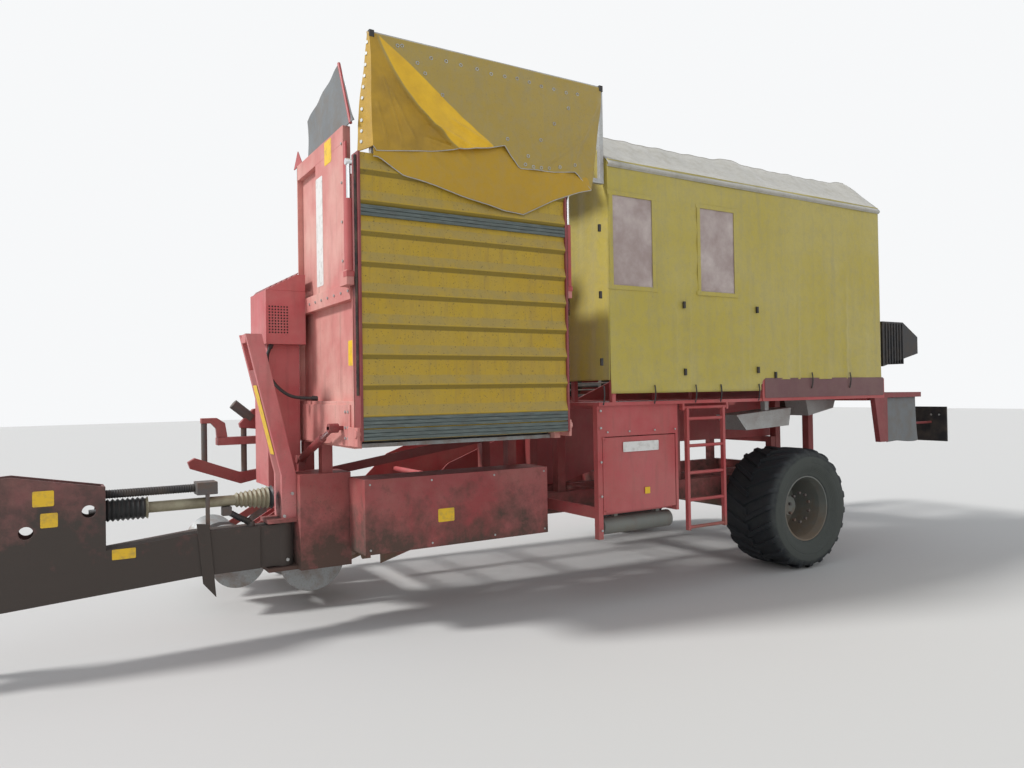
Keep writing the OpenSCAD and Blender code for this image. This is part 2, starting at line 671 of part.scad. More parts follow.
module drawbar() color(dark_red) at_axle() {
  y0 = drawbar_y - drawbar_w / 2;
  side_plate([[5480, 560], [5952, 557], [7210, 480], [7820, 500], [7820, 620], [7210, 768], [5952, 890], [5480, 890]],
             y0, drawbar_w);
  rod_z(drawbar_pivot_x, drawbar_y, 552, 900, 95);
  block([drawbar_pivot_x, 5490], [drawbar_y - 90, drawbar_y + 90], [560, 890]);
  rod_z(drawbar_pivot_x, drawbar_y, head_z + 1, 934, drawbar_pin_r);
  // Head plates with their round hole
  for (y = [y0, y0 + drawbar_w - 20])
    difference() {
      side_plate([[head_x, 700], [7700, 560], [7700, 900], [7250, 1390], [7142, 1397], [head_x, 1291]], y, 20);
      rod_y(6672, y - 1, y + 21, 1123, 45);
      rod_y(7056, y - 1, y + 21, 1008, 45);
    }
  difference() {
    block([head_x, head_x + 20], [y0 + 20, y0 + drawbar_w - 20], [830, 1290]);
    rod_x(head_x - 1, head_x + 21, pto_y, pto_z, shaft_r + running_gap);
  }
  // Guide tube of the parking jack
  in = jack_r + 0.5;
  difference() {
    block([jack_x - 65, jack_x + 65], [jack_y - 65, y0], [400, 1250]);
    block([jack_x - in, jack_x + in], [jack_y - in, jack_y + in], [399, 1230]);
  }
}

module jack_leg() color(steel) at_axle() {
  block([jack_x - jack_r, jack_x + jack_r], [jack_y - jack_r, jack_y + jack_r], [20, 840]);
  block([jack_x - 150, jack_x + 150], [jack_y - 150, jack_y + 150], [0, 20]);
}

module towing_eye() color(steel) at_axle() {
  difference() {
    union() {
      rod_z(hitch_reach - 70, drawbar_y, hitch_z - eye_t / 2, hitch_z + eye_t / 2, 70);
      block([7820, hitch_reach - 100], [drawbar_y - 30, drawbar_y + 30], [hitch_z - 22, hitch_z + 22]);
      block([7820, 7850], [drawbar_y - 90, drawbar_y + 90], [hitch_z - 55, hitch_z + 55]);
    }
    rod_z(hitch_reach - 70, drawbar_y, hitch_z - 50, hitch_z + 50, eye_r);
  }
}

module shaft_guard() color(black) at_axle() {
  difference() {
    union() {
      rod_x(6300, head_x, pto_y, pto_z, 85);
      rod_x(5750, 6300, pto_y, pto_z, 42);
      rod_x(5400, 5750, pto_y, pto_z, 85);
    }
    rod_x(5420, head_x - 20, pto_y, pto_z, 30);
    rod_x(5399, head_x + 1, pto_y, pto_z, shaft_r + running_gap);
  }
}

module power_shaft() color(steel) at_axle() {
  shoulder = head_x + 22;
  rod_x(shaft_start, shoulder, pto_y, pto_z, shaft_r);
  rod_x(shoulder, shoulder + pto_stub, pto_y, pto_z, pto_r);
}

// Intake: side arms, share, cross tubes and forks of the rollers
disc_x = 4850;
disc_z = 445;
diabolo_x = 5480;
diabolo_z = 480;
row_y = [-440, -440 - row_gap];
disc_y = [-60, (row_y[0] + row_y[1]) / 2, row_y[0] + row_y[1] + 60];
axle_r = 20;
module intake_frame() color(red) at_axle() {
  left_arm = channel_left_y + wall_t + 10;
  right_arm = channel_right_y - arm_t - 10;
  for (y = [left_arm, right_arm])
    difference() {
      side_plate([[3880, 610], [4300, 560], [4900, 600], [5000, 900], [4700, 940], [4300, 760], [3880, 750]], y, arm_t);
      rod_y(intake_pivot_x, y - 1, y + arm_t + 1, intake_pivot_z, 40 + running_gap);
    }
  // Cross tubes: the upper one carries discs and rollers, the lower one the shares
  rod_y(4860, right_arm, left_arm + arm_t, 850, 50);
  rod_y(4380, right_arm, left_arm + arm_t, 430, 25);
  for (y = [left_arm, right_arm]) side_plate([[4340, 400], [4420, 400], [4500, 640], [4340, 640]], y, arm_t);
  for (y = row_y) side_plate([[4370, 400], [4380, 430], [4960, 240], [4950, 225]], y - 340, 680);
  // A hanger and stub axle for each disc
  for (y = disc_y) {
    side_plate([[4820, 410], [4880, 410], [4900, 850], [4820, 850]], y + 34, 14);
    rod_y(disc_x, y - 34, y + 40, disc_z, axle_r);
  }
  // A fork and axle for each diabolo roller
  for (y = row_y) {
    for (f = [y - 302, y + 287])
      side_plate([[4860, 810], [5450, 450], [5510, 450], [5510, 510], [4860, 890]], f, 15);
    rod_y(diabolo_x, y - 300, y + 300, diabolo_z, axle_r);
  }
}

module disc(y) color(steel) at_axle()
  difference() {
    union() {
      rod_y(disc_x, y - 4, y + 4, disc_z, disc_r);
      rod_y(disc_x, y - 30, y + 30, disc_z, 60);
    }
    rod_y(disc_x, y - 31, y + 31, disc_z, axle_r + running_gap);
  }
module disc_left() disc(disc_y[0]);
module disc_middle() disc(disc_y[1]);
module disc_right() disc(disc_y[2]);

module diabolo(y) color(steel) at_axle() translate([diabolo_x, y, diabolo_z]) rotate([90, 0, 0])
  rotate_extrude() polygon([
    [axle_r + running_gap, -280], [diabolo_r, -280], [diabolo_r * 0.6, 0], [diabolo_r, 280],
    [axle_r + running_gap, 280]]);
module diabolo_left() diabolo(row_y[0]);
module diabolo_right() diabolo(row_y[1]);

main_frame();
mast();
side_box();
axle_beam();
gearbox();
bunker_walls();
bunker_web();
bunker_hood();
fold_cylinders();
platform();
tent_frame();
tent_sides();
tent_roof();
tent_windows();
picking_table();
filler_web();
channel_walls();
sieve_webs();
haulm_web();
cross_web();
oil_tower();
air_tank();
side_panel();
trash_chutes();
rear_posts();
rubber_curtain();
rear_cover();
light_boards();
side_door();
ladder();
discharge_frame();
discharge_web();
tarp_frame();
tarp_sheet();
fold_rods();
drawbar();
towing_eye();
jack_leg();
shaft_guard();
power_shaft();
knuckle_left();
knuckle_right();
tie_rod();
tyre_left();
rim_left();
tyre_right();
rim_right();
intake_frame();
disc_left();
disc_middle();
disc_right();
diabolo_left();
diabolo_right();
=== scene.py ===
import json
import math

import bmesh
import bpy
import numpy as np
from mathutils import Matrix, Vector


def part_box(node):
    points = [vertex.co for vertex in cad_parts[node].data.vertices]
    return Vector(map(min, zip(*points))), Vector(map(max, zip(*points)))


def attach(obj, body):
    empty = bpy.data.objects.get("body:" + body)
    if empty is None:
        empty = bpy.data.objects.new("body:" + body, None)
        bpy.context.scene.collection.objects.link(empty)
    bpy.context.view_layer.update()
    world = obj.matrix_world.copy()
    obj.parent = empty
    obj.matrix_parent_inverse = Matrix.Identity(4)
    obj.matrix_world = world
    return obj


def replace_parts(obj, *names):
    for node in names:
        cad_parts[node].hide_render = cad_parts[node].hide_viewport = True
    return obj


bl_info = {
    "name": "Potato Harvester",
    "version": (1, 0, 0),
    "blender": (4, 5, 0),
    "location": "View3D > Sidebar > Harvester",
    "description": "Dresses a packed potato harvester with cloth, rubber, chains and painted finishes",
    "category": "Object",
}

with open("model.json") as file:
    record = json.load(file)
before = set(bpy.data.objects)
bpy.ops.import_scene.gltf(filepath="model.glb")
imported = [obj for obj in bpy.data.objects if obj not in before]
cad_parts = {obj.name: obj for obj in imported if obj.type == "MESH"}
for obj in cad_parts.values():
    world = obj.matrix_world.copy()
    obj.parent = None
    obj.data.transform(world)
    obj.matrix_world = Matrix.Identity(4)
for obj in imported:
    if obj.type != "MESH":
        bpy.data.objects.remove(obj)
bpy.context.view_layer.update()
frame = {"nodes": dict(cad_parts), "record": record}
NODES = frame["nodes"]


def limits(node):
    """A node's lowest and highest corners at rest, as arrays."""
    return [np.array(corner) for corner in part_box(node)]


# Places that the pieces share, taken from the frame
AXLE = float(sum(c[0] for c in limits("axle_beam"))) / 2
TYRE_R = float(limits("tyre_left")[1][2]) / 2
LEFT_Y = float(limits("platform")[1][1])
TARP = limits("tarp_sheet")
TENT = limits("tent_roof")
BUNKER = limits("bunker_walls")
FOLD_LOW, FOLD_TOP = (float(corner[2]) for corner in limits("discharge_frame"))
DRAW_LEFT = float(limits("drawbar")[1][1])
SLOTS = {part["node"]: part["material_slot"] for part in frame["record"]["subparts"]}

# Sizes of the scene's own forms, in metres; X is counted from the axle.
# The bunker's end faces and its two sides
FRONT_WALL, REAR_WALL = 4.982, 3.120
WALL_RIGHT, WALL_LEFT = 0.064, 1.450
# The folding section's ribs and wear strips
RIB_PITCH = 0.226
RIB_START = FOLD_LOW + 0.184
STRIP_Z, STRIP_TALL = (FOLD_LOW + 0.005, FOLD_LOW + 0.095, FOLD_LOW + 1.654), 0.080
# The tarpaulin's rail and its roll's two edges: their X at the rail, and how fast they move back with depth
TARP_TOP = float(TARP[1][2]) - 0.016
ROLL_TOP = 4.800
ROLL_FRONT, ROLL_REAR = (0.21, 0.757), 1.355
# The tent: its windows' rear edges and width, its roof's slopes, and the platform's part that is higher behind STEP_X
WINDOWS, WINDOW_WIDE = (2.141, 1.070), 0.500
ROOF_KNEE = 0.432
STEP_X, STEP_UP = 0.70, 0.115


# Shader maths
class Wire:
    """One shader value. Python arithmetic on it adds Math nodes to the material it belongs to."""

    def __init__(self, paint, socket):
        self.paint, self.socket = paint, socket

    def _math(self, how, *values, clamp=False):
        return self.paint.add("ShaderNodeMath", {"operation": how, "use_clamp": clamp}, dict(enumerate(values)))

    def __add__(self, other):
        return self._math("ADD", self, other)

    __radd__ = __add__

    def __sub__(self, other):
        return self._math("SUBTRACT", self, other)

    def __rsub__(self, other):
        return self._math("SUBTRACT", other, self)

    def __mul__(self, other):
        return self._math("MULTIPLY", self, other)

    __rmul__ = __mul__

    def __pow__(self, other):
        return self._math("POWER", self, other)

    def sine(self):
        return self._math("SINE", self)

    def wrapped(self, size):
        """The value's rest after whole steps of a size."""
        return self._math("FLOORED_MODULO", self, size)

    def limited(self):
        """The value held between 0 and 1."""
        return self._math("ADD", self, 0.0, clamp=True)

    def ramp(self, low, high):
        """0 below low and 1 above high, straight in between; low may be the larger."""
        return self._math("MULTIPLY", self - low, 1.0 / (high - low), clamp=True)

    def band(self, low, high, soft):
        """1 between low and high, fading out over soft on both sides."""
        return self.ramp(low - soft, low) * self.ramp(high + soft, high)


class Paint:
    """One material under construction, on Object coordinates, which are the machine's own metres."""

    def __init__(self, name):
        self.material = bpy.data.materials.new(name)
        self.material.use_nodes = True
        self.tree = self.material.node_tree
        self.tree.nodes.clear()
        self.place = self.add("ShaderNodeTexCoord", {}, {}, "Object")
        split = self.add("ShaderNodeSeparateXYZ", {}, {0: self.place}).socket.node
        self.x, self.y, self.z = (Wire(self, split.outputs[letter]) for letter in "XYZ")

    def add(self, kind, settings, inputs, output=0):
        """Adds a node, sets its settings, then its inputs by name or number, and returns one output."""
        node = self.tree.nodes.new(kind)
        for key, value in settings.items():
            setattr(node, key, value)
        for key, value in inputs.items():
            socket = node.inputs[key]
            if isinstance(value, Wire):
                self.tree.links.new(value.socket, socket)
            else:
                wide = socket.type == "RGBA" and len(value) == 3
                socket.default_value = (*value, 1.0) if wide else value
        return Wire(self, node.outputs[output])

    def stretched(self, scale):
        """Object coordinates times a scale for each axis."""
        return self.add("ShaderNodeVectorMath", {"operation": "MULTIPLY"}, {0: self.place, 1: scale})

    def noise(self, scale, detail=4.0, rough=0.55, at=None):
        inputs = {"Vector": at or self.place, "Scale": scale, "Detail": detail, "Roughness": rough}
        return self.add("ShaderNodeTexNoise", {}, inputs, "Fac")

    def cells(self, scale):
        return self.add("ShaderNodeTexVoronoi", {}, {"Vector": self.place, "Scale": scale}, "Distance")

    def mix(self, factor, under, over):
        """Colour under where factor is 0 and over where it is 1."""
        return self.add("ShaderNodeMix", {"data_type": "RGBA"}, {0: factor, 6: under, 7: over}, 2)

    def bump(self, height, distance, strength=1.0, under=None):
        inputs = {"Height": height, "Distance": distance, "Strength": strength}
        if under:
            inputs["Normal"] = under
        return self.add("ShaderNodeBump", {}, inputs, "Normal")

    def done(self, colour, rough, metal=0.0, normal=None, alpha=None, sheen=0.0):
        """Closes the material with a Principled surface."""
        inputs = {"Base Color": colour, "Roughness": rough, "Metallic": metal, "Sheen Weight": sheen}
        if normal:
            inputs["Normal"] = normal
        if alpha is not None:
            inputs["Alpha"] = alpha
        surface = self.add("ShaderNodeBsdfPrincipled", {}, inputs, "BSDF")
        end = self.tree.nodes.new("ShaderNodeOutputMaterial")
        self.tree.links.new(surface.socket, end.inputs["Surface"])
        return self.material


# Finishes
SOIL = (0.20, 0.15, 0.105)
DRY_SOIL = (0.36, 0.30, 0.22)
WET_SOIL = (0.080, 0.058, 0.045)
GREY_SOIL = (0.062, 0.058, 0.050)
# How fast the cloth's weave goes up and down, in radians a metre
WEAVE = 900.0


def weathered(p, colour, fade, mud_top, gloss, caked=0.0, soil=SOIL):
    """Farm paint: chalky fading in clouds, chips to the primer, streaks, and mud that thins out with height."""
    clouds = p.noise(1.1, 6.0, 0.6).ramp(0.40, 0.64)
    grain = p.noise(42.0, 5.0, 0.6)
    streaks = p.noise(14.0, 4.0, 0.6, p.stretched((1.0, 1.0, 0.12))).ramp(0.52, 0.70)
    chips = p.noise(26.0, 8.0, 0.72).ramp(0.665, 0.70)
    dust = p.noise(3.2, 7.0, 0.68).ramp(0.40, 0.72)
    splash = p.noise(75.0, 3.0, 0.6).ramp(0.60, 0.68) * p.z.ramp(2.6, 0.9)
    mud = (p.noise(4.2, 9.0, 0.68) * 1.3 + p.z.ramp(mud_top, 0.25) * 0.9 + (caked - 0.95)).ramp(0.05, 0.42)
    base = p.mix(clouds * 0.75, colour, fade)
    base = p.mix(dust * 0.16, base, DRY_SOIL)
    base = p.mix(streaks * 0.22, base, (0.16, 0.09, 0.07))
    base = p.mix(splash * 0.55, base, soil)
    base = p.mix(chips * 0.75, base, (0.17, 0.12, 0.10))
    base = p.mix(mud * 0.92, base, soil)
    rough = grain * 0.16 + gloss + mud * 0.35 + dust * 0.12
    height = grain * 0.25 + mud * 1.6 + splash * 0.5 - chips * 0.5
    return base, rough.limited(), p.bump(height, 0.002, 0.6)


def painted_steel(name, colour, fade, mud_top, gloss=0.40, caked=0.0, soil=SOIL):
    """Farm paint on plain steel."""
    p = Paint(name)
    base, rough, normal = weathered(p, colour, fade, mud_top, gloss, caked, soil)
    return p.done(base, rough, normal=normal)


def ribbed_yellow(name, colour, fade):
    """The folding section's sheet: tan dust on each rib's upper slope, painted shade under its crest, and specks."""
    p = Paint(name)
    base, rough, normal = weathered(p, colour, fade, 0.4, 0.45)
    up = (p.z - RIB_START).wrapped(RIB_PITCH)
    cloud = p.noise(7.0, 8.0, 0.7)
    dusty = up.band(0.010, 0.072, 0.006) * cloud.ramp(0.25, 0.55)
    # Painted shade: the band under each rib's crest, which faces down, is darkened to olive
    under = up.band(RIB_PITCH - 0.034, RIB_PITCH - 0.004, 0.005)
    specks = p.noise(75.0, 3.0, 0.55).ramp(0.645, 0.69) + p.cells(22.0).ramp(0.10, 0.06)
    drips = p.noise(38.0, 4.0, 0.6, p.stretched((1.0, 1.0, 0.08))).ramp(0.56, 0.72)
    base = p.mix(cloud.ramp(0.45, 0.75) * 0.45, base, (0.30, 0.22, 0.06))
    base = p.mix(dusty * 0.80, base, (0.37, 0.27, 0.075))
    # Painted shade under each crest
    base = p.mix(under * 0.75, base, (0.17, 0.125, 0.012))
    base = p.mix(drips * 0.30, base, (0.22, 0.17, 0.06))
    base = p.mix(specks.limited() * 0.75, base, (0.085, 0.062, 0.022))
    return p.done(base, rough, normal=normal)


def wiped_steel(name, dark, light):
    """The folding section's wear strips: grey steel wiped lengthwise."""
    p = Paint(name)
    wipes = p.noise(60.0, 5.0, 0.6, p.stretched((0.15, 1.0, 3.0)))
    soil = p.noise(8.0, 7.0, 0.7).ramp(0.50, 0.75)
    base = p.mix(soil * 0.5, p.mix(wipes.ramp(0.4, 0.7), dark, light), WET_SOIL)
    return p.done(base, wipes * 0.2 + 0.45, 0.25, p.bump(wipes, 0.001, 0.4))


def dusty_metal(name, colour, rust, rough_at=0.45, metal=0.85):
    """Worn steel with rust in clouds and dry soil in the grain."""
    p = Paint(name)
    clouds = p.noise(6.0, 6.0, 0.6).ramp(0.45, 0.65)
    grain = p.noise(70.0, 4.0, 0.6)
    scratch = p.noise(22.0, 6.0, 0.7, p.stretched((0.3, 3.0, 1.0))).ramp(0.60, 0.70)
    base = p.mix(clouds * rust, colour, (0.20, 0.095, 0.045))
    base = p.mix(scratch * 0.4, base, tuple(min(1.0, c * 1.7) for c in colour))
    base = p.mix(grain.ramp(0.55, 0.75) * 0.5, base, SOIL)
    normal = p.bump(grain * 0.5 + clouds + scratch * 0.3, 0.0012, 0.5)
    rough = grain * 0.25 + rough_at + clouds * (0.2 * rust)
    return p.done(base, rough.limited(), (1.0 - clouds * rust) * metal, normal)


def plain_rubber(name, colour, dust, gloss=0.55):
    """Rubber or plastic with dust in clouds."""
    p = Paint(name)
    clouds = p.noise(7.0, 7.0, 0.65).ramp(0.42, 0.72)
    grain = p.noise(120.0, 3.0, 0.6)
    base = p.mix(clouds * dust, colour, SOIL)
    normal = p.bump(grain * 0.6 + clouds * 0.6, 0.001, 0.5)
    return p.done(base, (grain * 0.2 + gloss + clouds * 0.25).limited(), normal=normal)


def guard_plastic(name):
    """The shaft's guard: a beige, dusty tube and bellows behind a dark cup at the drawbar's head."""
    p = Paint(name)
    low, high = (float(c[0]) for c in limits("shaft_guard"))
    pale = p.x.band(low - 0.01, high - 0.275, 0.004)
    clouds = p.noise(9.0, 7.0, 0.65).ramp(0.38, 0.70)
    base = p.mix(pale, (0.035, 0.036, 0.036), p.mix(clouds, (0.33, 0.30, 0.20), (0.20, 0.17, 0.115)))
    normal = p.bump(p.noise(140.0, 3.0, 0.6) + clouds, 0.001, 0.5)
    return p.done(base, clouds * 0.2 + 0.45, normal=normal)


def tyre_rubber(name):
    """Tyre rubber, grey with dust: the sidewall's rings follow the distance from the axle."""
    p = Paint(name)
    across = p.x - AXLE
    up = p.z - TYRE_R
    r = (across * across + up * up) ** 0.5
    cloud = p.noise(6.0, 7.0, 0.65)
    fine = p.noise(90.0, 4.0, 0.6)
    wall = r.band(0.36, 0.54, 0.02)
    rings = ((r * 420.0).sine() * 0.5 + 0.5) * r.band(0.385, 0.47, 0.004)
    groove = r.band(0.478, 0.486, 0.002) + r.band(0.552, 0.558, 0.002)
    dust = (cloud * 1.1 + wall * 0.42 - 0.35).ramp(0.0, 0.55) * (1.0 - r.ramp(0.58, 0.62) * 0.85)
    base = p.mix(dust * 0.80, (0.007, 0.010, 0.014), (0.080, 0.088, 0.078))
    base = p.mix(fine.ramp(0.60, 0.72) * 0.15, base, (0.09, 0.078, 0.062))
    normal = p.bump(rings * 0.7 - groove * 1.5 + fine * 0.35 + cloud * 0.4, 0.004, 0.6)
    return p.done(base, (fine * 0.15 + 0.62 + dust * 0.2).limited(), normal=normal)


def woven(p, colour, faded, dirt):
    """Coated fabric: a fine square weave, sun fading in clouds, rain streaks and grey dirt in the folds."""
    clouds = p.noise(1.4, 6.0, 0.6).ramp(0.38, 0.66)
    mottle = p.noise(16.0, 7.0, 0.66)
    streaks = p.noise(11.0, 5.0, 0.65, p.stretched((1.0, 1.0, 0.10))).ramp(0.50, 0.74)
    spots = p.noise(90.0, 3.0, 0.6).ramp(0.63, 0.70)
    threads = (p.x * WEAVE).sine() * 0.5 + (p.z * WEAVE).sine() * 0.5
    base = p.mix(clouds * 0.7, colour, faded)
    base = p.mix(mottle.ramp(0.45, 0.75) * (0.45 * dirt), base, (0.30, 0.27, 0.19))
    base = p.mix(streaks * (0.40 * dirt), base, (0.26, 0.235, 0.16))
    base = p.mix(spots * (0.6 * dirt), base, (0.14, 0.12, 0.09))
    crumple = p.noise(5.5, 5.0, 0.55)
    height = crumple * 4.0 + mottle * 0.5
    return base, mottle * 0.2 + 0.42, p.bump(threads, 0.0004, 0.25, p.bump(height, 0.006, 0.45))


def coated_cloth(name, colour, faded, dirt):
    """Plain coated fabric, for the tent and the lower tarpaulin."""
    p = Paint(name)
    base, rough, normal = woven(p, colour, faded, dirt)
    return p.done(base, rough, normal=normal, sheen=0.15)


def tarp_cloth(name, colour, faded):
    """The tarpaulin: dull cloth, with a painted highlight on its roll between two slanted edges and painted shade in
    the pocket in front of it.
    """
    p = Paint(name)
    base, rough, normal = woven(p, colour, faded, 0.7)
    depth = TARP_TOP - p.z
    x = p.x - AXLE
    front_edge = ROLL_TOP - depth * ROLL_FRONT[0] - depth * depth * ROLL_FRONT[1]
    rear_edge = ROLL_TOP - depth * ROLL_REAR
    # Painted highlight: the roll between the two edges is painted as sunlit cloth
    roll = (front_edge - x).ramp(0.0, 0.012) * (x - rear_edge).ramp(-0.006, 0.008) * p.z.ramp(3.70, 3.72)
    # Painted shade: the pocket in front of the roll is painted as shaded cloth
    pocket_shade = (x - front_edge).ramp(0.0, 0.02)
    shade = p.noise(6.0, 5.0, 0.6).ramp(0.35, 0.70)
    base = p.mix(pocket_shade * 0.85, base, p.mix(shade, (0.50, 0.28, 0.003), (0.34, 0.19, 0.006)))
    base = p.mix(roll * 0.92, base, p.mix(shade, (0.92, 0.54, 0.006), (0.74, 0.42, 0.008)))
    return p.done(base, rough, normal=normal, sheen=0.15)


def milky_film(name):
    """Soft clear sheet gone milky: cloudy, scuffed and see-through in part."""
    p = Paint(name)
    clouds = p.noise(3.0, 6.0, 0.65)
    crumple = p.noise(9.0, 4.0, 0.6)
    base = p.mix(clouds.ramp(0.40, 0.70), (0.58, 0.46, 0.43), (0.74, 0.64, 0.60))
    return p.done(base, 0.28 + clouds * 0.2, normal=p.bump(crumple, 0.006, 0.5), alpha=clouds * 0.45 + 0.35)


def plain(name, colour, rough=0.5, dirt=0.35):
    """A small piece's finish: one colour under speckled dirt."""
    p = Paint(name)
    cloud = p.noise(18.0, 6.0, 0.65)
    base = p.mix(cloud.ramp(0.48, 0.72) * dirt, colour, SOIL)
    return p.done(base, cloud * 0.2 + rough, normal=p.bump(cloud, 0.001, 0.4))


# Materials by name, filled by the finishes step
FINISHES = {}


# Shapes worked out as whole arrays
def xyz(x, y, z):
    """Points from their three coordinates, each an array or one number for all of them."""
    return np.stack(np.broadcast_arrays(x, y, z), -1)


def even(nu, nv):
    """Two arrays (nu, nv) that run evenly from 0 to 1, each along one side of a grid."""
    return np.meshgrid(np.linspace(0, 1, nu), np.linspace(0, 1, nv), indexing="ij")


def opening(a, b, hole):
    """Marks the faces of a grid whose middle lies in a hole, given as its limits along a and then along b."""
    a, b = ((one[1:, 1:] + one[:-1, :-1]) / 2 for one in (a, b))
    return (a > hole[0]) & (a < hole[1]) & (b > hole[2]) & (b < hole[3])


def circles(ahead, across, sides):
    """Unit circles (n, sides, 3) square to the unit directions ahead; across is never along them."""
    u = np.cross(ahead, across)
    u /= np.linalg.norm(u, axis=1, keepdims=True)
    a = np.linspace(0, 2 * np.pi, sides, endpoint=False)[None, :, None]
    return u[:, None] * np.cos(a) + np.cross(ahead, u)[:, None] * np.sin(a)


class Shape:
    """Points and faces gathered for one mesh. Its X is counted from origin."""

    def __init__(self, origin=0.0):
        self.points, self.faces, self.count = [], [], 0
        self.origin = np.array([origin, 0.0, 0.0])

    def add(self, points, faces):
        """Adds points (n, 3) and faces given as rows of indices into them."""
        points = np.asarray(points, float).reshape(-1, 3) + self.origin
        self.points.append(points)
        self.faces.extend([[i + self.count for i in face] for face in faces])
        self.count += len(points)
        return self

    def grid(self, points, wrap_u=False, wrap_v=False, keep=None):
        """A surface from its points on a grid (nu, nv, 3); keep marks the faces that stay."""
        nu, nv = points.shape[:2]
        i = np.arange(nu if wrap_u else nu - 1)[:, None]
        j = np.arange(nv if wrap_v else nv - 1)[None, :]
        i1, j1 = (i + 1) % nu, (j + 1) % nv
        quads = np.stack(np.broadcast_arrays(i * nv + j, i1 * nv + j, i1 * nv + j1, i * nv + j1), -1)
        quads = quads[keep] if keep is not None else quads.reshape(-1, 4)
        return self.add(points, quads.tolist())

    def sleeve(self, rings):
        """A bar through its rings of points (n, sides, 3), with both ends closed."""
        base, (n, sides) = self.count, rings.shape[:2]
        self.grid(rings, wrap_v=True)
        last = base + (n - 1) * sides
        self.faces += [[base + k for k in range(sides)], [last + k for k in reversed(range(sides))]]
        return self

    def rods(self, start, end, radius, sides=8):
        """Straight round bars from start (n, 3) to end (n, 3)."""
        start, end = np.atleast_2d(start).astype(float), np.atleast_2d(end).astype(float)
        along = (end - start) / np.linalg.norm(end - start, axis=1, keepdims=True)
        helper = np.where(np.abs(along[:, :1]) < 0.8, [[1.0, 0, 0]], [[0, 1.0, 0]])
        for first, last, ring in zip(start, end, circles(along, helper, sides) * radius):
            self.sleeve(np.stack([first + ring, last + ring]))
        return self

    def boxes(self, centres, halves, axes=None):
        """Blocks at centres (n, 3) with half sizes, turned by axes (n, 3, 3) whose rows are their own axes."""
        centres = np.atleast_2d(centres).astype(float)
        halves = np.broadcast_to(np.asarray(halves, float), centres.shape)
        signs = np.array([[x, y, z] for x in (-1, 1) for y in (-1, 1) for z in (-1, 1)], float)
        local = signs[None] * halves[:, None]
        if axes is not None:
            local = np.einsum("nki,nij->nkj", local, axes)
        points = centres[:, None] + local
        cube = np.array([[0, 1, 3, 2], [4, 6, 7, 5], [0, 4, 5, 1], [2, 3, 7, 6], [0, 2, 6, 4], [1, 5, 7, 3]])
        faces = cube[None] + np.arange(len(centres))[:, None, None] * 8
        return self.add(points, faces.reshape(-1, 4).tolist())

    def block(self, x, y, z):
        """A block between two limits along each axis."""
        low, high = np.array([x[0], y[0], z[0]]), np.array([x[1], y[1], z[1]])
        return self.boxes([(low + high) / 2], (high - low) / 2)

    def prism(self, outline, low, high, axis=1):
        """A plate from low to high along an axis, cut to an outline given in the two other axes' order."""
        flat = np.asarray(outline, float)
        return self.sleeve(np.stack([np.insert(flat, axis, end, axis=1) for end in (low, high)]))

    def tube(self, path, radius, sides=8, across=(0, 1, 0)):
        """A circle of the radius carried along a path (n, 3); across is a direction the path never takes."""
        path = np.asarray(path, float)
        ahead = np.gradient(path, axis=0)
        ahead /= np.linalg.norm(ahead, axis=1, keepdims=True)
        r = np.broadcast_to(radius, len(path))[:, None, None]
        return self.sleeve(path[:, None] + r * circles(ahead, across, sides))

    def turned(self, profile, centre, segments=96):
        """A closed profile of (radius, across) points turned about an axle along Y through centre."""
        profile = np.asarray(profile, float)
        a = np.linspace(0, 2 * np.pi, segments, endpoint=False)[:, None]
        r, w = profile.T
        return self.grid(xyz(r * np.cos(a), w, r * np.sin(a)) + np.asarray(centre), wrap_u=True, wrap_v=True)

    def made(self, name, body, finish, slot=None, closed=True, smooth=35.0, bevel=0.0):
        """The mesh as an object that rides on a body, in its finish. The slot is not used."""
        mesh = bpy.data.meshes.new(name)
        mesh.from_pydata(np.concatenate(self.points).tolist(), [], self.faces)
        if closed:
            work = bmesh.new()
            work.from_mesh(mesh)
            bmesh.ops.recalc_face_normals(work, faces=work.faces)
            work.to_mesh(mesh)
            work.free()
        if smooth:
            mesh.polygons.foreach_set("use_smooth", [True] * len(mesh.polygons))
            mesh.set_sharp_from_angle(angle=math.radians(smooth))
        mesh.materials.append(FINISHES[finish])
        piece = bpy.data.objects.new(name, mesh)
        bpy.context.scene.collection.objects.link(piece)
        if bevel:
            edge = piece.modifiers.new("bevel", "BEVEL")
            edge.width, edge.segments, edge.limit_method = bevel, 2, "ANGLE"
        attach(piece, body)
        return piece

    def skin(self, name, body, finish, slot, thick):
        """The mesh as an open sheet, thickened to both sides."""
        piece = self.made(name, body, finish, slot, closed=False, smooth=60.0)
        wall = piece.modifiers.new("thickness", "SOLIDIFY")
        wall.thickness, wall.offset = thick, 0.0
        return piece


def spline(points, n):
    """A smooth line through points (Catmull-Rom: each span is a cubic set by its two ends and their neighbours)."""
    p = np.asarray(points, float)
    p = np.vstack([2 * p[0] - p[1], p, 2 * p[-1] - p[-2]])
    t = np.linspace(0, len(p) - 3, n)
    i = np.minimum(t.astype(int), len(p) - 4)
    s = (t - i)[:, None]
    a, b, c, d = p[i], p[i + 1], p[i + 2], p[i + 3]
    return 0.5 * (2 * b + (c - a) * s + (2 * a - 5 * b + 4 * c - d) * s ** 2 + (3 * b - a - 3 * c + d) * s ** 3)


def step(x, low, high):
    """0 below low, 1 above high and a smooth S between them."""
    t = np.clip((x - low) / (high - low), 0, 1)
    return t * t * (3 - 2 * t)


def ridge(s, z, start, end, width):
    """A rounded fold along the line from start to end in the (s, z) plane: a bell across it that dies at both ends."""
    ds, dz = end[0] - start[0], end[1] - start[1]
    size = math.hypot(ds, dz)
    along = ((s - start[0]) * ds + (z - start[1]) * dz) / size ** 2
    off = ((s - start[0]) * dz - (z - start[1]) * ds) / size
    return np.exp(-(off / width) ** 2) * step(along, -0.08, 0.12) * step(1 - along, -0.08, 0.18)


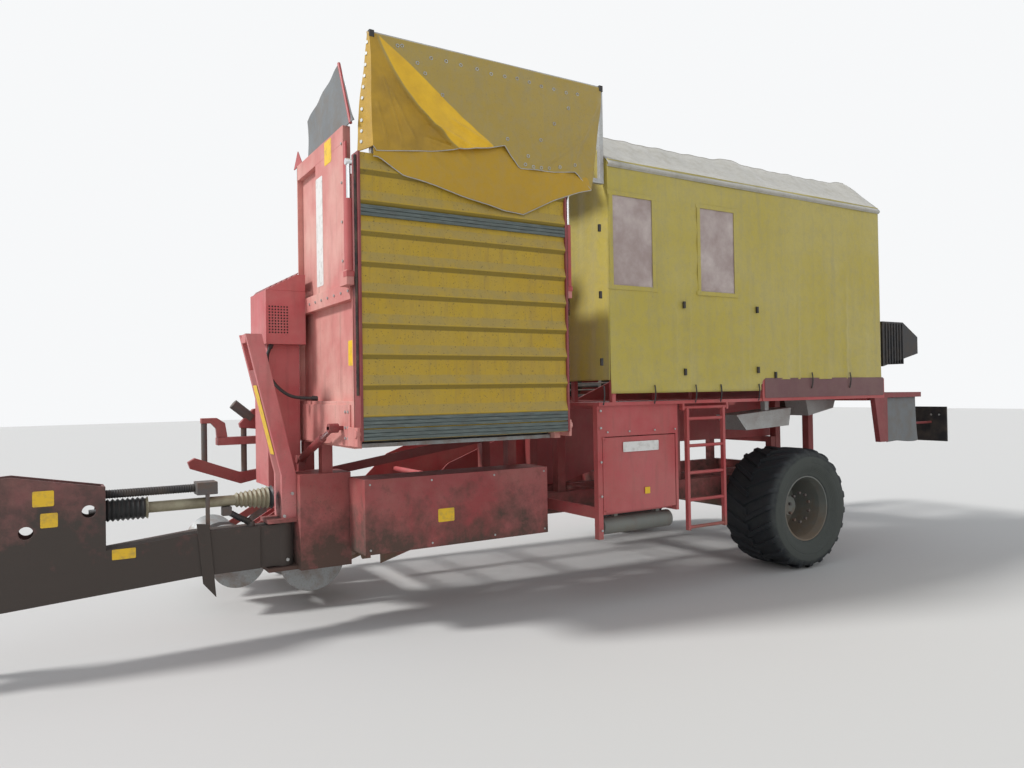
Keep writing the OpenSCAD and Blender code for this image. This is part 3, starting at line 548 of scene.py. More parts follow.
def cloth(name, points, body, finish, slot=None, thick=0.003, keep=None):
    """A sheet from its grid of points, with a thickness."""
    piece = Shape().grid(points, keep=keep).skin(name, body, finish, slot, thick)
    return piece


def hexes(shape, centres, normal, radius, height):
    """Hexagonal bolt heads that stand on a face with the given normal."""
    centres = np.atleast_2d(centres)
    shape.rods(centres, centres + np.asarray(normal, float) * height, radius, 6)


def plate(shape, corner, across, up, out, thick):
    """A thin plate with clipped corners, from a corner and its two edges, standing just off its wall along out."""
    gap = 0.0005
    corner, across, up, out = (np.asarray(v, float) for v in (corner, across, up, out))
    sizes = np.linalg.norm([across, up], axis=1)
    a, b = 0.06 * sizes.min() / sizes
    outline = [(a, 0), (1 - a, 0), (1, b), (1, 1 - b), (1 - a, 1), (a, 1), (0, 1 - b), (0, b)]
    flat = np.array([corner + across * i + up * j for i, j in outline])
    shape.sleeve(np.stack([flat + out * gap, flat + out * (gap + thick)]))


# Sizes and colours that a user may change
def length(name, text, default, low, high):
    """A size in metres between two limits."""
    return bpy.props.FloatProperty(name=name, description=text, default=default, min=low, max=high, unit="LENGTH")


def colour_of(name, text, default):
    """A colour as red, green and blue."""
    return bpy.props.FloatVectorProperty(name=name, description=text, default=default, min=0, max=1, subtype="COLOR")


class HarvesterCloth(bpy.types.PropertyGroup):
    """Sizes of the cloth pieces"""

    fold: length("Tarpaulin folds", "How far the tarpaulin's folds stand out", 0.028, 0.0, 0.05)
    slack: length("Tent slack", "How far the tent's sides wave at their hem", 0.014, 0.0, 0.03)
    sag: length("Roof sag", "How far the roof sinks between its frames", 0.03, 0.0, 0.06)
    eyelet: length("Eyelet radius", "Outer radius of the eyelets", 0.016, 0.008, 0.03)


class HarvesterColours(bpy.types.PropertyGroup):
    """Colours of the paint and the cloth"""

    red: colour_of("Paint", "The paint where it is fresh", (0.42, 0.052, 0.055))
    faded: colour_of("Faded paint", "The paint where the sun has bleached it", (0.50, 0.13, 0.13))
    canvas: colour_of("Tent cloth", "The tent's sides", (0.47, 0.375, 0.055))
    tarp: colour_of("Tarpaulin", "The tarpaulin over the bunker", (0.40, 0.275, 0.045))


class HARVESTER_OT_stage(bpy.types.Operator):
    """Pale floor, plain soft light and the camera at the photograph's angle"""

    bl_idname = "harvester.stage"
    bl_label = "Stage"

    def execute(self, context):
        scene = context.scene
        floor = bpy.data.objects.new("floor", bpy.data.meshes.new("floor"))
        floor.data.from_pydata([(-60, -60, 0), (60, -60, 0), (60, 60, 0), (-60, 60, 0)], [], [(0, 1, 2, 3)])
        scene.collection.objects.link(floor)
        floor.data.materials.append(Paint("floor_finish").done((0.62, 0.61, 0.59), 0.85))
        self.light_sky(scene)
        lamps = (("sun", 2.7, 10.0, (-0.70, 0.22, -0.66)), ("fill", 0.45, 60.0, (-0.35, -0.9, -0.25)))
        for name, energy, angle, direction in lamps:
            lamp = bpy.data.lights.new(name, "SUN")
            lamp.energy, lamp.angle = energy, math.radians(angle)
            holder = bpy.data.objects.new(name, lamp)
            holder.rotation_mode = "QUATERNION"
            holder.rotation_quaternion = Vector(direction).to_track_quat("-Z", "Y")
            scene.collection.objects.link(holder)
        scene.camera = self.place_camera(scene)
        scene.view_settings.view_transform = "Standard"
        return {"FINISHED"}

    def light_sky(self, scene):
        """A grey-blue sky for light, and a paler one where the camera and mirrors look."""
        scene.world = bpy.data.worlds.new("sky")
        scene.world.use_nodes = True
        tree = scene.world.node_tree
        ground = tree.nodes["Background"]
        ground.inputs["Color"].default_value = (0.80, 0.84, 0.90, 1.0)
        ground.inputs["Strength"].default_value = 0.62
        pale = tree.nodes.new("ShaderNodeBackground")
        pale.inputs["Color"].default_value = (0.93, 0.94, 0.95, 1.0)
        seen = tree.nodes.new("ShaderNodeLightPath")
        either = tree.nodes.new("ShaderNodeMath")
        either.operation = "MAXIMUM"
        tree.links.new(seen.outputs["Is Camera Ray"], either.inputs[0])
        tree.links.new(seen.outputs["Is Glossy Ray"], either.inputs[1])
        pick = tree.nodes.new("ShaderNodeMixShader")
        tree.links.new(either.outputs[0], pick.inputs[0])
        tree.links.new(ground.outputs[0], pick.inputs[1])
        tree.links.new(pale.outputs[0], pick.inputs[2])
        tree.links.new(pick.outputs[0], tree.nodes["World Output"].inputs["Surface"])

    def place_camera(self, scene):
        """The camera as it was fitted to the photograph: place in metres, then yaw, pitch and roll."""
        yaw, pitch, roll = (math.radians(a) for a in (31.52, 0.606, 0.939))
        ahead = Vector((-math.sin(yaw) * math.cos(pitch), -math.cos(yaw) * math.cos(pitch), math.sin(pitch)))
        side = Vector((-math.cos(yaw), math.sin(yaw), 0.0))
        above = side.cross(ahead)
        right = side * math.cos(roll) - above * math.sin(roll)
        up = above * math.cos(roll) + side * math.sin(roll)
        lens = bpy.data.cameras.new("camera")
        lens.sensor_width, lens.lens = 36.0, 27.04
        eye = bpy.data.objects.new("camera", lens)
        eye.matrix_world = Matrix((
            (right.x, up.x, -ahead.x, 4.511), (right.y, up.y, -ahead.y, 6.925),
            (right.z, up.z, -ahead.z, 1.928), (0, 0, 0, 1)))
        scene.collection.objects.link(eye)
        return eye


class HARVESTER_OT_finishes(bpy.types.Operator):
    """Finishes for the machine's own solids"""

    bl_idname = "harvester.finishes"
    bl_label = "Finishes"

    def execute(self, context):
        colours = context.scene.harvester_colours
        red, faded, canvas, tarp = (tuple(c) for c in (colours.red, colours.faded, colours.canvas, colours.tarp))
        recipes = {
            painted_steel: {
                "red_paint": (red, faded, 1.0),
                "dark_red_paint": ((0.20, 0.022, 0.026), (0.34, 0.075, 0.078), 1.1),
                "bunker_paint": ((0.58, 0.20, 0.18), (0.76, 0.46, 0.39), 0.4, 0.5),
                "muddy_paint": ((0.29, 0.048, 0.048), (0.39, 0.12, 0.115), 1.5, 0.5, 0.06, WET_SOIL),
                "caked_paint": ((0.15, 0.035, 0.035), (0.21, 0.085, 0.080), 1.9, 0.55, 0.20, GREY_SOIL),
                "tower_paint": ((0.50, 0.10, 0.105), (0.60, 0.25, 0.24), 0.9, 0.5),
                "board_paint": ((0.13, 0.045, 0.05), (0.20, 0.10, 0.10), 0.4),
                "grey_paint": ((0.12, 0.13, 0.12), (0.19, 0.20, 0.18), 0.9)},
            ribbed_yellow: {"yellow_paint": ((0.48, 0.305, 0.012), (0.50, 0.345, 0.030))},
            wiped_steel: {"wiped_steel": ((0.075, 0.095, 0.090), (0.16, 0.19, 0.18))},
            dusty_metal: {
                "bare_steel": ((0.33, 0.34, 0.34), 0.5),
                "zinc_steel": ((0.46, 0.47, 0.46), 0.2),
                "chrome_rod": ((0.75, 0.76, 0.77), 0.0, 0.12, 1.0),
                "cast_iron": ((0.13, 0.12, 0.115), 0.5, 0.6, 0.5)},
            tyre_rubber: {"tyre_rubber": ()},
            plain_rubber: {
                "web_rubber": ((0.030, 0.029, 0.028), 0.7),
                "grey_sheet": ((0.17, 0.18, 0.185), 0.45),
                "black_plastic": ((0.018, 0.018, 0.020), 0.3, 0.4)},
            coated_cloth: {
                "yellow_canvas": (canvas, (0.50, 0.42, 0.13), 0.7),
                "shaded_tarp": ((0.50, 0.29, 0.004), (0.42, 0.245, 0.010), 0.4),
                "grey_canvas": ((0.47, 0.45, 0.40), (0.38, 0.37, 0.33), 1.0)},
            tarp_cloth: {"yellow_tarp": (tarp, (0.42, 0.31, 0.085))},
            milky_film: {"clear_sheet": ()},
            guard_plastic: {"guard_plastic": ()},
            plain: {
                "label_yellow": ((0.80, 0.50, 0.02), 0.4, 0.5),
                "label_white": ((0.74, 0.73, 0.70), 0.4, 0.35),
                "lamp_red": ((0.45, 0.01, 0.01), 0.12, 0.2),
                "lamp_amber": ((0.75, 0.22, 0.01), 0.12, 0.2),
                # Painted shade for the tower's punched holes
                "painted_hole_shade": ((0.012, 0.010, 0.010), 0.8, 0.1)}}
        for recipe, finishes in recipes.items():
            for name, values in finishes.items():
                FINISHES[name] = recipe(name, *values)
        special = {"drawbar": "caked_paint", "main_frame": "muddy_paint", "side_box": "muddy_paint",
                   "mast": "tower_paint", "towing_eye": "cast_iron", "air_tank": "grey_paint"}
        for part in frame["record"]["subparts"]:
            node = NODES[part["node"]]
            node.data.materials.clear()
            node.data.materials.append(FINISHES[special.get(part["node"], part["material_slot"])])
        return {"FINISHED"}


class HARVESTER_OT_panels(bpy.types.Operator):
    """The folding section's ribbed sheet, the bunker's walls and the oil tower"""

    bl_idname = "harvester.panels"
    bl_label = "Panels"

    def execute(self, context):
        self.fold()
        self.walls()
        self.tower()
        return {"FINISHED"}

    def fold(self):
        """One profile drawn along X: each rib stands out slowly from above and drops at once to the flat below it."""
        back, flat, rear, front = 1.570, 1.578, REAR_WALL + 0.02, FRONT_WALL - 0.02
        crest = RIB_START + RIB_PITCH * np.arange(9)[:, None] + np.array([[-0.032, -0.004, 0.006, 0.075]])
        ribs = np.stack([np.broadcast_to([flat, 1.600, 1.599, flat], (9, 4)), crest], -1).reshape(-1, 2)
        top = FOLD_TOP - 0.025
        outline = np.vstack([[(back, FOLD_LOW), (flat, FOLD_LOW)], ribs, [(flat, top), (back, top)]])
        sheet = Shape(AXLE).prism(outline, rear, front, 0).block((rear, front), (1.530, flat), (top, FOLD_TOP))
        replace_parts(sheet.made("fold_sheet", "discharge", "yellow_paint", SLOTS["discharge_frame"]), "discharge_frame")
        # Each wear strip has two grooves along its face
        strips, face, groove = Shape(AXLE), 1.596, 1.591
        for z in STRIP_Z:
            cuts = [(y, z + k + a) for k in (0.025, 0.053) for y, a in ((face, -0.003), (groove, 0), (face, 0.003))]
            top = z + STRIP_TALL
            strips.prism([(flat, z), (face, z), *cuts, (face, top), (flat, top)], rear, front, 0)
        strips.made("fold_strips", "discharge", "wiped_steel", "bare_steel")
        ends = Shape(AXLE)
        side = [(1.47, FOLD_LOW + 0.074), (1.52, FOLD_LOW), (1.600, FOLD_LOW), (1.600, FOLD_TOP), (1.47, FOLD_TOP)]
        for x in (REAR_WALL, FRONT_WALL - 0.02):
            ends.prism(side, x, x + 0.02, 0)
        ends.made("fold_ends", "discharge", "dark_red_paint", bevel=0.003)

    def walls(self):
        """The front wall's pressed panels and edges, with its side and rear walls behind them."""
        low, high = float(BUNKER[0][2]), float(BUNKER[1][2])
        back, face, ahead = (-0.060, -0.048), (-0.052, 0.0), (0.0, 0.012)
        full, neck, sill, shoulder, brow = (WALL_RIGHT, WALL_LEFT), 1.290, 2.640, 2.770, 3.850
        walls = Shape(AXLE)
        for x, y, z in ((back, (WALL_RIGHT, neck), (low, high)), (back, (neck, WALL_LEFT), (low, shoulder)),
                        (face, full, (low, 1.880)), (face, full, (sill, shoulder)),
                        (face, (WALL_RIGHT, neck), (brow, high)), (face, (0.600, neck), (shoulder, brow)),
                        (face, (WALL_RIGHT, 0.076), (low, high)), (face, (1.438, WALL_LEFT), (1.880, sill)),
                        (ahead, (0.076, 1.440), (sill, shoulder)), (ahead, (0.096, 1.390), (1.540, 1.853)),
                        # The foot of the front fold cylinder stands on a bracket
                        ((0.020, 0.078), (1.400, 1.555), (2.730, 2.840)), ((0, 0.020), (1.380, 1.440), (2.730, 2.770))):
            walls.block((FRONT_WALL + x[0], FRONT_WALL + x[1]), y, z)
        walls.block((REAR_WALL, REAR_WALL + 0.060), full, (low, 3.050))
        inside = (REAR_WALL + 0.060, FRONT_WALL - 0.060)
        walls.block(inside, (WALL_RIGHT, 0.084), (low, high)).block(inside, (0.084, 0.184), (low, low + 0.060))
        for x in (REAR_WALL - 0.025, FRONT_WALL):
            walls.block((x, x + 0.025), (1.380, 1.585), (low + 0.02, low + 0.16))
            walls.rods((x - 0.01, 1.560, 1.640), (x + 0.035, 1.560, 1.640), 0.030, 16)
        # And so does the rear one's
        walls.block((REAR_WALL - 0.075, REAR_WALL - 0.025), (1.400, 1.555), (2.730, 2.840))
        walls.block((REAR_WALL - 0.025, REAR_WALL), (1.400, WALL_LEFT), (2.730, 2.840))
        plates = walls.made("bunker_plates", "chassis", "bunker_paint", SLOTS["bunker_walls"], bevel=0.002)
        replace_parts(plates, "bunker_walls")
        # The hood's edge bar, and the rack of teeth and the bracket on the front wall
        trim = Shape(AXLE).rods((4.952, 1.139, 4.518), (4.952, 1.386, 3.975), 0.013, 10)
        trim.block((FRONT_WALL - 0.012, FRONT_WALL), (neck, 1.345), (shoulder, brow))
        trim.boxes(xyz(FRONT_WALL - 0.006, 1.352, np.arange(2.806, 3.306, 0.050)), (0.005, 0.010, 0.014))
        trim.prism([(-0.060, 3.984), (0.067, 4.120), (0.190, 3.984)], FRONT_WALL - 0.016, FRONT_WALL - 0.008, 0)
        trim.made("wall_trim", "chassis", "red_paint")

    def tower(self):
        """A box on a column, with a slatted slope on top and, in its side, a panel of small holes drawn as dark discs
        of painted shade.
        """
        tower, slats, holes = Shape(AXLE), Shape(AXLE), Shape(AXLE)
        right, left, thick = -0.250, 0.300, 0.006
        rear, front, sill, top = 4.990, 5.330, 2.830, 2.976
        tower.block((5.020, 5.300), (right, 0.200), (1.150, 2.371)).block((rear, front), (right, left), (2.371, sill))
        for y in (right, left - thick):
            tower.prism([(rear, sill), (front, sill), (5.060, top), (rear, top)], y, y + thick)
        tower.block((rear, 5.060), (right + thick, left - thick), (2.960, top))
        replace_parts(tower.made("tower_plates", "chassis", "tower_paint", SLOTS["oil_tower"], bevel=0.003), "oil_tower")
        for k in range(6):
            x, z = 5.300 - k * 0.046, 2.840 + k * 0.0245
            slat = [(x, z), (x + 0.006, z + 0.002), (x - 0.018, z + 0.030), (x - 0.024, z + 0.028)]
            slats.prism(slat, right + thick, left - thick)
        slats.made("tower_slats", "chassis", "dark_red_paint")
        # Painted shade: dark discs stand in for the panel's holes, which are dark inside
        x, z = np.meshgrid(np.linspace(5.150, 5.300, 7), np.linspace(2.470, 2.690, 10))
        centres = xyz(x, left + 0.0005, z).reshape(-1, 3)
        holes.rods(centres, centres + [0, 0.0015, 0], 0.007, 10)
        holes.made("punched_holes", "chassis", "painted_hole_shade", "red_paint")


class HARVESTER_OT_gear(bpy.types.Operator):
    """Levers, cylinders, guards and hoses at the machine's front"""

    bl_idname = "harvester.gear"
    bl_label = "Front gear"

    def execute(self, context):
        self.levers()
        self.tilt()
        self.drawbar_parts()
        return {"FINISHED"}

    def levers(self):
        """Lever gear beside the tower: arms, brackets and two upright cylinders on a post from the frame."""
        y = -0.44
        span = (y - 0.03, y + 0.03)
        red, rods = Shape(AXLE), Shape(AXLE)
        red.block((5.000, 5.100), (-0.500, -0.250), (1.000, 1.100)).block((5.020, 5.100), span, (1.100, 1.840))
        low_arm = [(5.10, 1.190), (5.10, 1.270), (5.40, 1.236), (5.79, 1.385), (5.85, 1.350), (5.83, 1.290),
                   (5.40, 1.130)]
        hook = [(5.51, 1.560), (5.60, 1.560), (5.606, 1.640), (5.65, 1.690), (5.735, 1.690), (5.735, 1.738),
                (5.60, 1.738), (5.53, 1.690)]
        high_arm = [(5.10, 1.830), (5.28, 1.812), (5.405, 1.680), (5.395, 1.640), (5.10, 1.610)]
        for outline in (low_arm, hook, high_arm):
            red.prism(outline, *span)
        red.block((5.100, 5.600), (y - 0.06, y + 0.06), (1.490, 1.560))
        red.made("lever_arms", "chassis", "muddy_paint", "red_paint", bevel=0.004)
        rods.rods([(5.707, y, 1.338), (5.362, y, 1.200)], [(5.707, y, 1.690), (5.362, y, 1.660)], 0.026, 16)
        rods.rods((5.290, y, 1.725), (5.455, y, 1.862), 0.046, 20)
        rods.made("lever_cylinders", "chassis", "cast_iron", bevel=0.003)

    def tilt(self):
        """The bunker's tilting cylinder over the frame's head, the mast's front plate and the frame's side plate."""
        body, rod, plates = Shape(AXLE), Shape(AXLE), Shape(AXLE)
        ends, pin = np.array([[5.066, 0.360, 1.386], [5.066, 1.220, 1.676]]), [0.04, 0, 0]
        low, high = ends
        body.rods(low, low + (high - low) * 0.7, 0.033, 20)
        rod.rods(low + (high - low) * 0.7, high, 0.020, 16)
        body.rods(ends - pin, ends + pin, 0.036, 20)
        body.block((5.036, 5.096), (0.330, 0.390), (1.280, 1.386)).block((4.982, 5.106), (1.190, 1.250), (1.661, 1.691))
        body.made("tilt_cylinder", "chassis", "dark_red_paint", bevel=0.003)
        rod.made("tilt_rod", "chassis", "chrome_rod", "bare_steel")
        plates.prism([(5.285, 0.935), (5.299, 0.935), (5.299, 1.286), (5.500, 2.140), (5.486, 2.140), (5.285, 1.286)],
                     0.425, 0.575)
        plates.prism([(5.059, 1.190), (5.059, 1.262), (3.300, 1.526), (3.300, 1.440)], 0.340, 0.364)
        plates.made("front_plates", "chassis", "muddy_paint", "red_paint", bevel=0.002)
        # The tower's hose, with a fitting at each end
        route = spline([(5.270, 0.250, 2.385), (5.310, 0.245, 2.250), (5.290, 0.270, 2.080), (5.150, 0.350, 1.930),
                        (4.930, 0.420, 1.900)], 40)
        hose = Shape(AXLE).tube(route, 0.014, 10, (0.3, 1, 0))
        for end, other in ((0, 1), (-1, -2)):
            way = (route[other] - route[end]) / np.linalg.norm(route[other] - route[end])
            hose.rods(route[end] - way * 0.01, route[end] + way * 0.05, 0.021, 12)
        hose.made("tower_hose", "chassis", "black_plastic")

    def drawbar_parts(self):
        """The shaft's guard with its two bellows, the stand's plate, and the hoses held on the drawbar."""
        y, z = 0.496, 1.100
        k = np.arange(18)
        rear = np.stack([5.354 + k * 0.017, 0.096 - 0.040 * k / 18 - 0.016 * (k % 2)], -1)
        front = np.stack([6.276 + k * 0.0168, 0.085 - 0.016 * (k % 2)], -1)
        line = np.vstack([rear, [(5.664, 0.042), (6.270, 0.042)], front])
        guard = Shape(AXLE).tube(xyz(line[:, 0], y, z), line[:, 1], 28)
        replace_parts(guard.made("guard_bellows", "drawbar", "guard_plastic", SLOTS["shaft_guard"]), "shaft_guard")
        side, inner = DRAW_LEFT, DRAW_LEFT - 0.020
        stand = Shape(AXLE).prism([(5.862, 0.950), (5.954, 0.962), (5.912, 0.499), (5.817, 0.383)], side, side + 0.012)
        stand.made("stand_plate", "drawbar", "caked_paint", "dark_red_paint", bevel=0.002)
        hoses, fittings = Shape(AXLE), Shape(AXLE)
        x = np.linspace(5.866, 6.566, 121)
        hoses.tube(xyz(x, 0.506, 1.222), 0.0315 + 0.0025 * np.sin(x * 2 * np.pi / 0.0175), 20)
        path = spline([(5.705, 0.526, 1.020), (5.620, 0.546, 0.965), (5.555, 0.546, 0.930), (5.530, 0.536, 0.895)], 81)
        hoses.tube(path, 0.024 + 0.002 * np.sin(np.arange(81) * 1.5), 16)
        hoses.made("drawbar_hoses", "drawbar", "black_plastic")
        fittings.block((5.791, 5.941), (0.456, inner), (1.174, 1.270))
        fittings.block((5.851, 5.881), (inner - 0.020, inner), (0.900, 1.174))
        fittings.block((5.675, 5.745), (0.486, 0.556), (0.988, 1.058))
        fittings.rods((5.530, 0.536, 0.880), (5.530, 0.536, 0.925), 0.032, 12)
        fittings.made("hose_clamps", "drawbar", "cast_iron", bevel=0.003)


class HARVESTER_OT_tarpaulin(bpy.types.Operator):
    """The folding section's two tarpaulin sheets, with eyelets, hems and corner clamps"""

    bl_idname = "harvester.tarpaulin"
    bl_label = "Tarpaulin"

    def execute(self, context):
        self.sizes = context.scene.harvester_cloth
        upper = self.upper()
        lower = self.lower()
        self.eyelets(upper)
        trim = Shape()
        for line in (upper[26:, -1], lower[:, -1]):
            trim.tube(line[::3], 0.004, 6)
        trim.made("tarpaulin_hems", "discharge", "grey_canvas")
        clamps = Shape(AXLE)
        for x in (4.830, 2.690):
            clamps.block((x, x + 0.040), (1.528, 1.582), (TARP[1][2] - 0.045, TARP[1][2] + 0.008))
        clamps.made("tarpaulin_clamps", "discharge", "black_plastic", bevel=0.003)
        return {"FINISHED"}

    def upper(self):
        """u runs from the flap's inner edge around the front post and back along the rail, and v runs down from the
        rail. The roll is a ramp between two slanted edges that stands out more the lower it gets; bells along slanted
        lines make the folds, and the front flap turns inward around the post."""
        turn, post, top = 0.10, 4.868, float(TARP[1][2]) + 0.003
        u, v = even(261, 121)
        along = np.clip((u - turn) / (1 - turn), 0, 1)
        rear = 2.700 + 0.160 * v
        x = post - along * (post - rear)
        foot = np.interp(post - along * 2.008, [2.860, 3.039, 3.248, 3.597, 3.737, 3.878, 4.408, 4.853, 4.876],
                         [3.673, 3.805, 3.777, 3.762, 3.930, 3.884, 3.780, 3.720, 3.768])
        z = top + (foot - top) * v
        deep = np.clip(TARP_TOP - z, 0, 1)
        edge = ROLL_TOP - ROLL_FRONT[0] * deep - ROLL_FRONT[1] * deep ** 2
        span = np.maximum(edge - (ROLL_TOP - ROLL_REAR * deep), 0.01)
        across = (x - edge + span) / span
        roll = np.clip(across, 0, 1) * (1 - step(x - edge, 0.0, 0.018)) * np.clip(deep / 0.6, 0, 1)
        roll = roll * (1 - 0.5 * step(deep, 0.62, 0.80))
        s = post - x
        out = 0.026 * step(v, 0.02, 0.25) + 0.014 * step(v, 0.60, 0.95) + 0.052 * roll
        folds = (((0.081, 4.293), (0.233, 3.796), 0.016, 0.7), ((0.140, 4.200), (0.350, 3.800), 0.020, 0.6),
                 ((0.040, 4.080), (0.120, 3.750), 0.016, 0.6), ((2.124, 4.529), (1.806, 3.867), 0.028, 0.7),
                 ((0.965, 4.500), (0.965, 3.950), 0.014, 0.15), ((1.515, 4.500), (1.515, 3.800), 0.014, 0.15),
                 ((0.500, 3.960), (0.960, 3.820), 0.020, 0.6), ((0.640, 4.050), (1.060, 3.880), 0.020, 0.5),
                 ((0.420, 3.880), (0.850, 3.790), 0.016, 0.5), ((1.900, 4.100), (1.500, 3.800), 0.022, 0.5))
        for start, target, width, size in folds:
            out = out + self.sizes.fold * size * ridge(s, z, start, target, width)
        out = out + (0.005 * np.sin(s * 17.0 + z * 9.0) + 0.003 * np.sin(s * 31.0 - z * 23.0)) * step(v, 0.1, 0.8)
        inward = np.clip((turn - u) / turn, 0, 1) * (0.02 + 0.136 * np.clip(v * 1.3, 0, 1))
        x = x + 0.292 * inward + 0.004 * np.sin(z * 14.0) * step(inward, 0.01, 0.1)
        y = 1.548 + 0.028 * step(v, 0.0, 0.02) + out * (1 - step(inward, 0.0, 0.05)) - 0.956 * inward
        sheet = xyz(x + AXLE, y, z)
        tarp = cloth("tarpaulin", sheet, "discharge", "yellow_tarp", "yellow_canvas")
        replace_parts(tarp, "tarp_sheet")
        return sheet

    def lower(self):
        """The sheet that hangs from behind the upper one's foot over the ribbed sheet: broad waves grow downwards."""
        u, v = even(181, 51)
        x = 4.862 - u * 1.995
        foot = np.interp(x, [2.867, 2.997, 3.260, 3.562, 3.753, 4.143, 4.358, 4.622, 4.819],
                         [3.670, 3.636, 3.537, 3.386, 3.398, 3.473, 3.524, 3.565, 3.679])
        z = 4.050 + (foot - 4.050) * v
        waves = 0.006 + 0.006 * np.sin(x * 9.0 + z * 5.0) + 0.003 * np.sin(x * 23.0 - z * 11.0)
        out = 0.031 * step(4.0 - z, 0.0, 0.26) + waves * step(v, 0.5, 1.0)
        folds = (((4.70, 3.95), (4.10, 3.52)), ((4.30, 3.95), (3.72, 3.44)), ((3.10, 3.85), (3.50, 3.45)))
        for start, target in folds:
            out = out + self.sizes.fold * 0.35 * ridge(x, z, start, target, 0.03)
        sheet = xyz(x + AXLE, 1.575 + out, z)
        cloth("tarpaulin_lower", sheet, "discharge", "shaded_tarp", "yellow_canvas")
        return sheet

    def eyelets(self, sheet):
        """Rings pressed into the cloth: a row under the rail, slanted rows beside the roll and rows near the hem."""
        spots = np.array([
            (4.646, 4.552), (4.612, 4.558), (4.372, 4.511), (4.245, 4.513), (4.114, 4.507), (3.972, 4.511),
            (3.846, 4.493), (3.717, 4.498), (3.592, 4.505), (3.475, 4.501), (3.358, 4.489), (3.228, 4.491),
            (3.106, 4.486), (2.982, 4.495), (4.490, 4.442), (4.429, 4.378), (4.282, 4.238), (3.091, 4.352),
            (3.234, 4.192), (3.377, 4.032), (3.512, 3.875), (3.707, 3.985), (3.539, 3.800), (3.465, 3.790),
            (3.390, 3.795), (3.301, 3.805), (3.198, 3.826), (3.040, 3.869)])
        flat = sheet[27:].reshape(-1, 3)
        near = np.argmin(np.hypot(flat[None, :, 0] - AXLE - spots[:, :1], flat[None, :, 2] - spots[:, 1:]), axis=1)
        centres = flat[near] + np.array([0, 0.003, 0])
        front = sheet[8, 12:116:11] + np.array([0.003, 0.001, 0])
        radius = self.sizes.eyelet
        profile = np.array([(radius, -0.002), (radius * 0.85, 0.004), (radius * 0.6, 0.004), (radius * 0.5, -0.002)])
        rings = Shape()
        for centre in centres:
            rings.turned(profile, centre, 14)
        rings.made("tarpaulin_eyelets", "discharge", "zinc_steel")
        studs = Shape().rods(front - [0.002, 0.001, 0], front + [0.004, 0.002, 0], radius * 0.8, 12)
        studs.made("tarpaulin_front_eyelets", "discharge", "zinc_steel")


